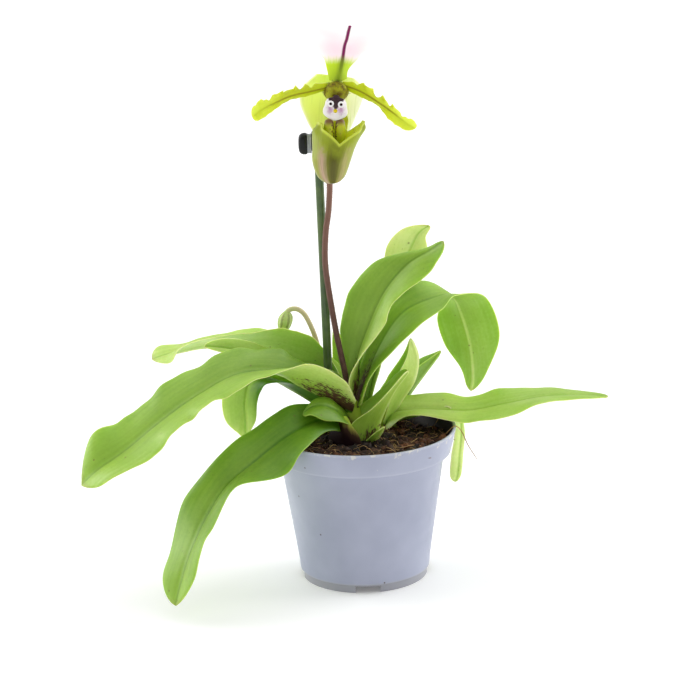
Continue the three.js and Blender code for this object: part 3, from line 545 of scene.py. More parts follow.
LEAVES = {
    "leaf_small_front": {
        "rows": [
            [[-4.5, -10.5, 76.5], [-6, -5, 75], [-6, 1, 79]],
            [[-10, -16, 80], [-11, -10, 83], [-10, -3, 84]],
            [[-17, -20, 82], [-17, -13, 87], [-15, -6, 89]],
            [[-23, -21, 85], [-23, -15, 87], [-21, -10, 90]],
        ],
        "tip": [-27, -18, 85], "round": 0.75,
    },
    "leaf_small_right": {
        "rows": [
            [[2, 2, 69], [7, -4.5, 65.5], [-5.5, -9, 66.5]],
            [[-2, 3, 79], [8, -3.5, 73.5], [-4.5, -10.5, 77]],
            [[7, 5, 87], [11, -2, 81], [5, -10, 84]],
            [[14, 6, 93], [16, 0, 90], [14, -7, 92]],
        ],
        "tip": [23, 1, 99], "round": 0.7,
    },
    "leaf_stub": {
        "rows": [
            [[2, -2, 67], [3.5, -5, 66], [2, -8, 68]],
            [[5, -3, 70], [6.5, -6, 67.5], [5, -9, 71]],
        ],
        "tip": [11, -6, 74], "round": 0.4, "spread": 0.3,
    },
    "leaf_left_long": {
        "rows": [
            [[-2, -5, 87], [-4, 0, 80], [-3, 5, 83]],
            [[-8, -12, 100], [-17, -4, 89], [-9, 7, 96]],
            [[-21, -17, 108], [-28, -7, 96], [-20, 8, 100]],
            [[-35, -24, 108], [-39, -10, 103], [-33, 7, 107]],
            [[-53, -30, 102], [-56, -14, 104], [-46, 4, 112]],
            [[-68, -35, 96], [-73, -19, 97], [-69, -1, 109]],
            [[-82, -40, 87], [-91, -24, 86], [-93, -8, 97]],
            [[-97, -44, 73], [-109, -29, 73], [-111, -16, 84]],
            [[-114, -45, 65], [-122, -33, 65], [-122, -22, 82]],
        ],
        "tip": [-130, -33, 58], "round": 0.94, "power": 3, "wave": [0.05, 0.07], "waves": 6,
    },
    "leaf_left_low": {
        "rows": [
            [[-4, -6, 71], [-5, -2, 74], [-6, 3, 77]],
            [[-16, -18, 76], [-18, -12, 80], [-18, -4, 85]],
            [[-26, -38, 74], [-33, -24, 77], [-35, -13, 87]],
            [[-36, -44, 64], [-49, -34, 68], [-52, -22, 78.5]],
            [[-57, -52, 61], [-62, -42, 59], [-67, -30, 69]],
            [[-67, -59, 48], [-71, -48, 47], [-82, -36, 52]],
            [[-73, -64, 37], [-79, -54, 32], [-89, -42, 31]],
            [[-77, -66, 24], [-84, -58, 18], [-93, -50, 20]],
        ],
        "tip": [-87, -60, 8], "round": 0.9, "power": 2.5, "wave": [0.05, 0.04], "waves": 4,
    },
    "leaf_left_droop": {
        "rows": [
            [[-4, -1, 80], [-5, 3, 76], [-4, 7, 79]],
            [[-16, -2, 87], [-18, 3, 82], [-16, 8, 86]],
            [[-30, 2, 94], [-31, 8, 89], [-30, 14, 94]],
            [[-43, 4, 94], [-44, 12, 95], [-46, 18, 98]],
            [[-47, 5, 90], [-52, 12, 93], [-60, 16, 97]],
            [[-49, 5, 84], [-55, 11, 84], [-66, 12, 86]],
            [[-50, 5, 75], [-55, 10, 74], [-65, 10, 74]],
            [[-53, 7, 68], [-55, 9, 68], [-61, 9, 68]],
        ],
        "tip": [-55, 8, 65.5], "round": 0.85,
    },
    "leaf_left_back": {
        "rows": [
            [[-5, 3, 86], [-4, 6, 80], [-2, 9, 83]],
            [[-14, 16, 103], [-12, 18, 88], [-9, 24, 96]],
            [[-25, 15, 115], [-26, 22, 97], [-23, 32, 105]],
            [[-39, 14, 118], [-43, 24, 104], [-40, 36, 112]],
            [[-57, 14, 116], [-59, 26, 107], [-57, 38, 112]],
            [[-73, 15, 114], [-75, 26, 107], [-74, 38, 109]],
            [[-85, 17, 109], [-87, 26, 105], [-86, 38, 106]],
            [[-90, 18, 102], [-94, 27, 103], [-96, 36, 106]],
        ],
        "tip": [-100, 28, 101], "round": 0.92, "power": 3, "wave": [0.03, 0.03], "waves": 5,
    },
    "leaf_left_mid": {
        "rows": [
            [[-6, 8, 76], [-4, 9, 73], [-3, 10, 76]],
            [[-15, 16, 84], [-15, 18, 80], [-14, 21, 84]],
            [[-30, 9, 98], [-30, 14, 94], [-29, 20, 97]],
            [[-46, 5, 106], [-45, 9, 104], [-46, 14, 110]],
            [[-60, 4, 108], [-60, 8, 110], [-61, 12, 116]],
        ],
        "tip": [-73, 8, 112], "round": 0.6, "power": 2.2,
    },
    "leaf_up": {
        "rows": [
            [[-6, 4, 84], [-3, 5, 80], [-4, 1, 84]],
            [[-6, 7, 95], [-1, 7, 93], [-5, -2, 97]],
            [[-8, 11, 110], [0, 9, 105], [3, -2, 110]],
            [[-8, 15, 122], [5, 11, 119], [13, 0, 123]],
            [[-2, 18, 137], [13, 12, 135], [17, 0, 133]],
            [[10, 18, 149], [24, 12, 148], [31, 2, 143]],
            [[32, 14, 155], [35, 10, 155], [38, 4, 150]],
        ],
        "tip": [41, 6, 160], "round": 0.85, "wave": [0.03, 0.04], "waves": 4,
    },
    "leaf_fold_right": {
        "rows": [
            [[-4, 5, 84], [-2, 3, 80], [0, -2, 84]],
            [[1, 10, 100], [2, 6, 91], [6, -3, 99]],
            [[10, 18, 121], [10, 11, 109], [18, -1, 111]],
            [[20, 26, 131], [21, 17, 123], [30, 5, 121]],
            [[32, 34, 135], [35, 24, 128], [40, 13, 125]],
            [[43, 46, 125], [46, 33, 127], [47, 22, 130]],
            [[39, 48, 113], [51, 42, 115], [62, 38, 125]],
            [[42, 48, 100], [55, 46, 98], [69.5, 46, 105]],
            [[49, 48, 87], [56, 47, 83], [65, 48, 85]],
        ],
        "tip": [55, 47, 75], "round": 0.86, "wave": [0.02, 0.03], "waves": 4,
    },
    "leaf_back": {
        "rows": [
            [[-7, 9, 78], [-4, 10, 74], [0, 10, 78]],
            [[-7, 14, 96], [-1, 18, 93], [6, 14, 96]],
            [[-4, 20, 117], [5, 24, 111], [13, 20, 114]],
            [[3, 25, 133], [13, 29, 128], [21, 25, 128]],
            [[12, 28, 144], [21, 31, 142], [31, 28, 140]],
            [[15, 28, 154], [26, 31, 151], [34, 28, 151]],
            [[21, 27, 162], [30, 29, 159], [34, 26, 158]],
        ],
        "tip": [35, 24, 164], "round": 0.85,
    },
    "leaf_back_small": {
        "rows": [
            [[-6, 10, 74], [-4, 11, 71], [-2, 11, 74]],
            [[-12, 26, 93], [-8, 27, 91], [-5, 26, 94]],
            [[-13, 28, 104], [-10, 30, 103], [-7, 28, 104]],
        ],
        "tip": [-11, 29, 115], "round": 0.6,
    },
    "leaf_thin_back": {
        "rows": [
            [[0, 12, 74], [1, 9, 71], [3, 7, 74]],
            [[2, 14, 90], [5, 13, 86], [7, 10, 89]],
            [[6, 16, 98], [8, 15, 96], [10, 12, 97]],
        ],
        "tip": [11, 16, 103], "round": 0.6,
    },
    "leaf_boat": {
        "rows": [
            [[8, 24, 70], [12, 20, 65], [11, 15, 70]],
            [[9, 24, 82], [19, 20, 78], [15, 12, 84]],
            [[13, 24, 89], [26, 20, 89], [19, 12, 95]],
            [[18, 24, 100], [28, 21, 100], [21, 14, 102]],
        ],
        "tip": [25, 20, 110], "round": 0.6, "power": 1.2, "spread": 0.4,
    },
    "leaf_small_back": {
        "rows": [
            [[12, 28, 70], [14, 26, 65], [15, 23, 69]],
            [[21, 35, 83], [23, 30, 78], [19, 24, 82]],
            [[29, 38, 95], [31, 33, 88], [27, 27, 93]],
        ],
        "tip": [40, 34, 99.5], "round": 0.6, "power": 1.2, "spread": 0.4,
    },
    "leaf_right": {
        "rows": [
            [[13, 27, 68], [12, 22, 64], [11, 13, 64]],
            [[15, 27, 78], [15, 20, 72.5], [14, 10, 68.5]],
            [[26, 27, 80], [25, 18, 74.5], [22, 5, 75.5]],
            [[39, 28, 80], [38, 15, 75], [36, -1, 76]],
            [[53, 28, 78], [53, 13, 75], [51, -4, 74]],
            [[68, 28, 81], [69, 12, 78], [67, -4, 76]],
            [[87, 26, 82], [86, 11, 81], [85, -4, 82]],
            [[104, 20, 82], [102, 9, 82], [99, -2, 83]],
        ],
        "tip": [118, 6, 82], "round": 0.7, "wave": [0.03, 0.03], "waves": 4,
    },
    "leaf_right_hang": {
        "rows": [
            [[12, 28, 68], [13, 25, 67.5], [14, 22, 69]],
            [[24, 31, 71], [24, 26, 69], [23, 20, 72]],
            [[37, 28, 75], [37, 24, 73], [35, 18, 75]],
            [[47, 23, 73], [46, 20, 74], [43, 15, 76]],
            [[50, 18, 64], [48, 17, 65], [45, 12, 66]],
            [[49, 17, 52], [47, 15, 52], [43, 12, 53]],
            [[48, 15, 43], [46, 14, 43], [42, 12, 44]],
        ],
        "tip": [45, 14, 39], "round": 0.9, "power": 3,
    },
}

LEAF_SHADES = (
    (0.0, "#DDE99A"), (1.0, "#4C7C04"), (0.2, "#BDD46E"), (0.45, "#98BA42"), (0.7, "#7A9F2A"),
)
# Depths of green from 0, pale and young, to 1, deep and old: the upper face at foot and tip, the under
# face at foot and tip, what is added left and right of the rib, and the stain's millimetres up the rib.
LEAF_TONES = {
    "leaf_small_front": (0.85, 0.75, 0.7, 0.5, 0.0, 0.0, 8),
    "leaf_small_right": (0.5, 0.45, 0.55, 0.3, 0.0, 0.0, 12),
    "leaf_stub": (0.6, 0.5, 0.5, 0.5, 0.0, 0.0, 3),
    "leaf_left_long": (0.85, 0.42, 0.5, 0.45, -0.5, 0.0, 44),
    "leaf_left_low": (1.0, 0.5, 0.8, 0.5, 0.0, 0.0, 12),
    # leaf_left_droop is painted paler right of its rib: a painted sheen, the sky reflected on that half
    "leaf_left_droop": (1.0, 0.1, 1.0, 0.35, 2.2, -0.6, 8),
    "leaf_left_back": (0.4, 0.22, 0.4, 0.22, 0.0, 0.0, 8),
    "leaf_left_mid": (0.5, 0.3, 0.5, 0.3, 0.0, 0.0, 8),
    "leaf_up": (0.56, 0.6, 0.6, 0.5, 0.0, -0.5, 30),
    "leaf_fold_right": (0.68, 0.42, 0.55, 0.4, 0.0, 0.0, 36),
    "leaf_back": (0.1, 0.0, 0.1, 0.0, 0.0, 0.0, 8),
    "leaf_back_small": (0.45, 0.3, 0.45, 0.3, 0.0, 0.0, 8),
    "leaf_thin_back": (0.6, 0.4, 0.6, 0.4, 0.0, 0.0, 8),
    "leaf_boat": (0.45, 0.35, 0.25, 0.2, 0.0, 0.0, 8),
    "leaf_small_back": (0.75, 0.6, 0.75, 0.6, 0.0, 0.0, 8),
    "leaf_right": (0.22, 0.46, 0.22, 0.46, 0.0, 0.0, 13),
    "leaf_right_hang": (0.15, 0.1, 0.15, 0.1, 0.0, 0.0, 8),
}
PALE_LEAVES = ("leaf_back", "leaf_back_small", "leaf_left_mid", "leaf_right_hang", "leaf_small_back")
BLADE_FACTS = ("side", "edge", "along", "distance", "under")


def lines_along(add, side, distance, under, shortened):
    """Places on a blade for a pattern that is drawn out from foot to tip, with another one underneath."""
    drawn_out = add(MATH, (distance, shortened), operation="MULTIPLY")
    return add(JOIN, (side, drawn_out, under))


def leaf_finish():
    """Living leaf under a thin wax, which gives it a satin shine. Young and thin tissue is lighter. Faint
    veins run from foot to tip, the margin is pale and lets light through, and the foot is stained maroon."""
    leaf, add = new_material("waxed_leaf")
    side, edge, along, distance, under = (add(FACT, out="Fac", attribute_name=key) for key in BLADE_FACTS)
    tone, stained = (add(FACT, out="Fac", attribute_name=key) for key in ("tone", "stain"))
    place = add(PLACE, out="Object")
    from_rib = add(MATH, (side,), operation="ABSOLUTE")
    lines = lines_along(add, side, distance, under, 0.05)
    # veins about 1.7 mm apart, twenty times as long as they are wide
    veins = add(NOISE, {"Vector": lines, "Scale": 0.6, "Detail": 2.0, "Roughness": 0.5})
    # uneven growth, in clouds about 20 mm wide
    clouds = add(NOISE, {"Vector": place, "Scale": 50.0, "Detail": 3.0})
    # the cells' mottle, drawn at 1.4 mm because the cells are too fine to show
    cells = add(NOISE, {"Vector": place, "Scale": 700.0, "Detail": 1.0})
    shade = add(MATH, (veins, 0.2, tone), operation="MULTIPLY_ADD")
    shade = add(MATH, (clouds, 0.3, shade), operation="MULTIPLY_ADD")
    shade = add(MATH, (cells, 0.12, shade), operation="MULTIPLY_ADD")
    shade = add(MATH, (shade, 0.31), operation="SUBTRACT")
    midline = add(RANGE, (from_rib, 0.2, 1.1, 1.0, 0.0), **SMOOTH)
    midline_tone = add(RANGE, (under, 0.0, 1.0, 0.14, -0.25))
    shade = add(MATH, (midline, midline_tone, shade), operation="MULTIPLY_ADD")
    thin_margin = add(RANGE, (edge, 0.0, 0.6, -0.35, 0.0), **SMOOTH)
    shade = add(MATH, (shade, thin_margin), operation="ADD")
    face = add(RAMP, (shade,), stops=LEAF_SHADES)
    # maroon streaks about 0.4 mm wide, five times as long, which run into each other at the foot
    short_lines = lines_along(add, side, distance, under, 0.2)
    streaks = add(NOISE, {"Vector": short_lines, "Scale": 2.4, "Detail": 2.0})
    nearer = add(RANGE, (stained, 0.0, 1.0, 0.5, -0.08))
    streaks = add(MATH, (streaks, nearer), operation="ADD")
    maroon = add(RANGE, (streaks, 0.6, 0.74, 0.0, 0.92), **SMOOTH)
    face = add(MIX, (maroon, face, "#4E0A24"), **COLOURS)
    # the last 2.5 percent, dried out at the tip
    dry = add(RANGE, (along, 0.975, 1.0, 0.0, 0.6), **SMOOTH)
    face = add(MIX, (dry, face, "#9A9A4E"), **COLOURS)
    # rare brown specks about 0.8 mm wide
    specks = add(CELLS, {"Vector": place, "Scale": 90.0})
    speck = add(RANGE, (specks, 0.03, 0.06, 0.6, 0.0), **SMOOTH)
    face = add(MIX, (speck, face, "#6E5A2A"), **COLOURS)
    relief = add(BUMP, {"Strength": 0.25, "Distance": 0.0003, "Height": veins})
    shine = add(RANGE, (clouds, 0.3, 0.7, 0.36, 0.5), **SMOOTH)
    return finish_surface(
        leaf, add, face, shine, Normal=relief, IOR=1.45,
        Subsurface_Weight=0.5, Subsurface_Radius=(0.7, 1.0, 0.25), Subsurface_Scale=0.0025,
    )


def add_leaves():
    finish = leaf_finish()
    for name, shape in LEAVES.items():
        slot = "pale_leaf" if name in PALE_LEAVES else "leaf"
        keep(add_blade(name + "_blade", shape, finish, LEAF_TONES[name]), slot, name)


# ---------------------------------------------------------------- Bloom: sepals and petals

SYNSEPAL = {
    "rows": [
        [[-16, 5, 240], [-7, 2, 239], [1.5, 5, 237.5]],
        [[-22.5, 6, 234], [-8, 4, 231.5], [6, 6, 232]],
        [[-24, 5, 227.5], [-8.5, 5, 224], [4.5, 5, 226]],
        [[-21, 3, 219], [-9.5, 4, 216.5], [1, 3, 218.5]],
        [[-17, 0, 211], [-9.5, 1, 209], [-2.5, 0, 211]],
    ],
    "tip": [-10, -3, 201.5], "round": 0.75,
}
DORSAL = {
    "rows": [
        [[-10, 1, 237.5], [-6, -3, 237], [-2, 1, 238]],
        [[-11, 2, 242.5], [-4.5, -4, 243], [-1, 2, 242]],
        [[-12.5, 2, 247.5], [-3.5, -4, 248], [3.5, 2, 246.5]],
        [[-18.5, 0, 254.5], [-2.5, -4, 253.5], [10.5, 0, 251.5]],
        [[-24, 0, 260.5], [-1.5, -5, 256.5], [18, 0, 254]],
        [[-21.5, 0, 265.5], [-1, -5.8, 258.4], [17.5, 0, 259]],
        [[-13, -3.5, 265], [-0.6, -6.6, 260], [9.5, -3.5, 260]],
        [[-6, -6.8, 262], [-0.2, -7.4, 261.4], [3.5, -6.8, 260]],
    ],
    "tip": [0.3, -8.2, 263], "round": 1, "spread": 0.2,
}
PETAL_LEFT = {
    "rows": [
        [[-11, -5, 234], [-9, -6, 235.5], [-8.5, -4, 237]],
        [[-20, -6, 231.5], [-18, -9, 234], [-18, -5, 237]],
        [[-28.5, -8, 230], [-27.5, -12, 232.5], [-26.5, -7, 236]],
        [[-35, -12, 226.5], [-34.5, -15, 230], [-35, -9, 233.5]],
        [[-39.5, -17, 224], [-40.5, -18, 227.5], [-42, -12, 230.5]],
    ],
    "tip": [-45, -18, 224.5], "round": 0.9, "power": 3,
    "wave": [0.12, 0.45], "frill": [0.05, 0.14], "waves": 8,
    "dips": (1, ((0.24, 0.95, 0.028), (0.38, 0.7, 0.028), (0.56, 0.5, 0.03), (0.74, 0.4, 0.03))),
}
PETAL_RIGHT = {
    "rows": [
        [[-4, -4, 237.5], [-3.5, -6, 236], [-3, -5, 234]],
        [[5, -5, 236.5], [4.5, -9, 233], [4.5, -6, 230]],
        [[13.5, -7, 231], [12.5, -12, 228], [11.5, -8, 226.5]],
        [[20, -10, 225.5], [19, -15, 223.5], [16, -12, 221]],
        [[26, -13, 221], [23.5, -18, 220], [20.5, -17, 218]],
    ],
    "tip": [28, -18, 217], "round": 0.9, "power": 3,
    "wave": [0.45, 0.12], "frill": [0.14, 0.05], "waves": 8,
    "dips": (0, ((0.16, 0.5, 0.028), (0.42, 0.95, 0.035), (0.6, 0.5, 0.03), (0.78, 0.5, 0.03))),
}
BRACT = {
    "rows": [
        [[-11.5, 9, 213], [-9.5, 13, 212], [-7, 9.5, 213]],
        [[-12.5, 8.5, 221], [-9, 13.5, 221], [-5.5, 8.5, 221]],
    ],
    "tip": [-8.5, 12, 231], "round": 0.5,
}
THIN_BLADE = {"rib": 0.8, "margin": 0.5, "groove": 0.1, "keel": 0.15}


def petal_finish():
    """Living petal, soft and a little see-through: yellow-green and paler at its end, with brown
    flecks that follow its veins, a brown midline and a pale crisped margin."""
    petal, add = new_material("green_petal_tissue")
    side, edge, along, distance, under = (add(FACT, out="Fac", attribute_name=key) for key in BLADE_FACTS)
    lines = lines_along(add, side, distance, under, 0.12)
    # veins about 0.8 mm apart
    veins = add(NOISE, {"Vector": lines, "Scale": 1.3, "Detail": 2.0, "Roughness": 0.5})
    tint = add(MATH, (veins, 0.3, along), operation="MULTIPLY_ADD")
    tints = ((0.2, "#B4C60A"), (1.0, "#CADB3C"), (0.5, "#BAC61C"), (0.8, "#C2CF2A"))
    face = add(RAMP, (tint,), stops=tints)
    # flecks about 0.4 mm wide and 3 mm long, along the veins
    flecks = add(NOISE, {"Vector": lines, "Scale": 2.6, "Detail": 2.0})
    nearer = add(RANGE, (along, 0.0, 0.8, 0.03, -0.06))
    flecks = add(MATH, (flecks, nearer), operation="ADD")
    flecked = add(RANGE, (flecks, 0.6, 0.7, 0.0, 0.5), **SMOOTH)
    face = add(MIX, (flecked, face, "#6B5A22"), **COLOURS)
    from_rib = add(MATH, (side,), operation="ABSOLUTE")
    midline = add(RANGE, (from_rib, 0.1, 0.6, 0.7, 0.0), **SMOOTH)
    fading = add(RANGE, (along, 0.6, 0.92, 1.0, 0.1), **SMOOTH)
    midline = add(MATH, (midline, fading), operation="MULTIPLY")
    face = add(MIX, (midline, face, "#7A6A14"), **COLOURS)
    crisped = add(RANGE, (edge, 0.15, 0.8, 0.9, 0.0), **SMOOTH)
    face = add(MIX, (crisped, face, "#E6F47C"), **COLOURS)
    relief = add(BUMP, {"Strength": 0.3, "Distance": 0.0003, "Height": veins})
    return finish_surface(
        petal, add, face, 0.6, Normal=relief, IOR=1.36, Specular_IOR_Level=0.3,
        Subsurface_Weight=0.6, Subsurface_Radius=(1.0, 0.9, 0.4), Subsurface_Scale=0.003,
    )


def synsepal_finish():
    """Pale living sepal, thin enough to glow: yellow-green on one side and painted nearly white on the other,
    as painted light that shines through it from behind, with faint green veins."""
    sepal, add = new_material("pale_sepal_tissue")
    side, edge, along, distance, under = (add(FACT, out="Fac", attribute_name=key) for key in BLADE_FACTS)
    lines = lines_along(add, side, distance, under, 0.06)
    # veins about 1.3 mm apart
    veins = add(NOISE, {"Vector": lines, "Scale": 0.8, "Detail": 1.0})
    # painted light: one side painted nearly white, as light that shines through the sepal from behind
    backlit_side = add(RANGE, (side, -8.0, 12.0, 0.0, 1.0), **SMOOTH)
    face = add(MIX, (backlit_side, "#D4E868", "#F3FAC2"), **COLOURS)
    vein = add(RANGE, (veins, 0.5, 0.68, 0.0, 0.4), **SMOOTH)
    face = add(MIX, (vein, face, "#C3D85E"), **COLOURS)
    deep_foot = add(RANGE, (along, 0.0, 0.25, 0.6, 0.0), **SMOOTH)
    face = add(MIX, (deep_foot, face, "#B4CB3C"), **COLOURS)
    thin = add(RANGE, (edge, 0.2, 1.5, 0.7, 0.0), **SMOOTH)
    face = add(MIX, (thin, face, "#EEF6B4"), **COLOURS)
    relief = add(BUMP, {"Strength": 0.2, "Distance": 0.0003, "Height": veins})
    return finish_surface(
        sepal, add, face, 0.5, Normal=relief, IOR=1.4,
        Subsurface_Weight=0.85, Subsurface_Radius=(0.8, 1.0, 0.6), Subsurface_Scale=0.004,
    )


def dorsal_finish():
    """The white standard of the bloom: a yellow-green foot, a pink flush on both sides of a purple midline,
    and the soft glow of thin tissue."""
    standard, add = new_material("white_sepal_tissue")
    keys = ("side", "distance", "under")
    side, distance, under = (add(FACT, out="Fac", attribute_name=key) for key in keys)
    lines = lines_along(add, side, distance, under, 0.1)
    # veins about 0.8 mm apart, which break up the edge of the green
    veins = add(NOISE, {"Vector": lines, "Scale": 1.3, "Detail": 2.0})
    from_rib = add(MATH, (side,), operation="ABSOLUTE")
    beside = add(MATH, (from_rib, 4.8), operation="SUBTRACT")
    above = add(MATH, (distance, 15.0), operation="SUBTRACT")
    flush_reach = add("ShaderNodeVectorMath", (add(JOIN, (beside, above, 0.0)),), "Value", operation="LENGTH")
    flush = add(RANGE, (flush_reach, 0.5, 12.0, 0.7, 0.0), **SMOOTH)
    face = add(MIX, (flush, "#F7F4F5", "#F2C2D3"), **COLOURS)
    ragged = add(MATH, (veins, 2.4, distance), operation="MULTIPLY_ADD")
    green = add(RANGE, (ragged, 9.6, 14.6, 1.0, 0.0), **SMOOTH)
    leaf_green = add(RANGE, (ragged, 4.0, 12.0), **SMOOTH)
    foot = add(MIX, (leaf_green, "#9AB402", "#AAC60C"), **COLOURS)
    face = add(MIX, (green, face, foot), **COLOURS)
    midline = add(RANGE, (from_rib, 0.45, 1.0, 1.0, 0.0), **SMOOTH)
    midline = add(MATH, (midline, add(RANGE, (distance, 3.0, 9.0), **SMOOTH)), operation="MULTIPLY")
    midline_shade = add(MIX, (green, "#74104C", "#5E6E10"), **COLOURS)
    face = add(MIX, (midline, face, midline_shade), **COLOURS)
    dusk = add(RANGE, (from_rib, 0.6, 3.0, 0.6, 0.0), **SMOOTH)
    dusk = add(MATH, (dusk, green), operation="MULTIPLY")
    face = add(MIX, (dusk, face, "#7E961A"), **COLOURS)
    relief = add(BUMP, {"Strength": 0.15, "Distance": 0.0003, "Height": veins})
    return finish_surface(
        standard, add, face, 0.5, Normal=relief, IOR=1.4, Specular_IOR_Level=0.3,
        Subsurface_Weight=0.7, Subsurface_Radius=(1.0, 0.95, 0.9), Subsurface_Scale=0.003,
    )


def add_petals():
    petal = petal_finish()
    crisped = {"along": 180, "across": 30, "rib": 0.8, "margin": 0.45, "groove": 0.1, "keel": 0.15}
    for name, shape in (("petal_left", PETAL_LEFT), ("petal_right", PETAL_RIGHT)):
        keep(add_blade(name + "_blade", shape, petal, **crisped), "green_petal", name)
    synsepal = add_blade("synsepal_blade", SYNSEPAL, synsepal_finish(), along=80, across=40, **THIN_BLADE)
    keep(synsepal, "pale_green_sepal", "synsepal")
    dorsal = add_blade("dorsal_blade", DORSAL, dorsal_finish(), along=100, across=50, **THIN_BLADE)
    keep(dorsal, "white_sepal", "dorsal_sepal")
    bract = add_blade("bract_blade", BRACT, petal, along=60, across=16, **THIN_BLADE)
    keep(bract, "green_tissue", "bract")


# ---------------------------------------------------------------- Bloom: pouch, hood and shield

POUCH = [
    [-10.4, -22, 193.7, 0.4, 0.4], [-10.1, -21.5, 194.6, 3.4, 3.4], [-10.2, -21, 197.0, 6.1, 5.6],
    [-10.2, -20, 200.7, 7.8, 7.2], [-9.8, -19, 205, 9.0, 8.2], [-8.8, -17.5, 209.3, 9.7, 8.6],
    [-7.6, -16, 213.6, 10.9, 8.6], [-6.2, -14, 216.9, 12.2, 8], [-4.9, -12, 219.7, 13.2, 7],
]
POUCH_WALL, POUCH_FLOOR = 0.9, 0.04
MOUTH_TURN, MOUTH_DEPTH, MOUTH_SPAN, MOUTH_POWER = -78, 0.31, 80, 1.25
BACK_TURN, BACK_DEPTH, BACK_SPAN, CLAW_RISE, CLAW_SPAN = 90, 0.34, 66, 0.64, 28
EAR_TURNS, EAR_SPAN, EAR_TOP, EAR_CURL, EAR_RISE, CURL_FROM = (-170, 4), 44, 0.4, 2.6, 0.01, 0.8
POUCH_LOBES = [
    [[-10.5, -11, 207], [-10.7, -12.5, 212], [-10.8, -12.5, 217], [-10.5, -11.5, 221.8]],
    [[-5.8, -11, 207], [-5.7, -12.5, 212], [-5.6, -12.5, 217], [-5.6, -11.5, 221.8]],
]
LOBE_RADII = [1.4, 2.3, 2.45, 2.4, 1.7]


def turned_apart(degrees, target):
    """How far angles are from another, from 0 to 180 degrees."""
    return np.abs((degrees - target + 540) % 360 - 180)


def ear_shares(degrees):
    """How much of an ear there is at angles round the pouch."""
    return sum(smooth_step(EAR_SPAN, EAR_TOP * EAR_SPAN, turned_apart(degrees, ear)) for ear in EAR_TURNS)


def pouch_rim(degrees):
    """The height share of the pouch's rim at angles round it, 1 being the top of POUCH."""
    mouth = np.maximum(1 - turned_apart(degrees, MOUTH_TURN) / MOUTH_SPAN, 0) ** MOUTH_POWER
    back = smooth_step(BACK_SPAN, 0, turned_apart(degrees, BACK_TURN))
    claw = smooth_step(CLAW_SPAN, 0, turned_apart(degrees, BACK_TURN))
    return 1 + EAR_RISE * ear_shares(degrees) - MOUTH_DEPTH * mouth - BACK_DEPTH * back + CLAW_RISE * claw


def pouch_ring(level, inset, rise, degrees):
    """A ring of the pouch at a share of its rim's height, moved in by inset and up by rise."""
    share = level * pouch_rim(degrees)
    x, y, z, wide, deep = catmull_rom(POUCH, share).T
    z = z + np.maximum(share - 1, 0) * (POUCH[-1][2] - POUCH[0][2]) + rise
    turn = np.radians(degrees)
    inset = inset + EAR_CURL * ear_shares(degrees) * smooth_step(CURL_FROM, 1, level) ** 2
    wide, deep = np.maximum(wide - inset, 0.1), np.maximum(deep - inset, 0.1)
    return np.stack([x + wide * np.cos(turn), y + deep * np.sin(turn), z], axis=-1)


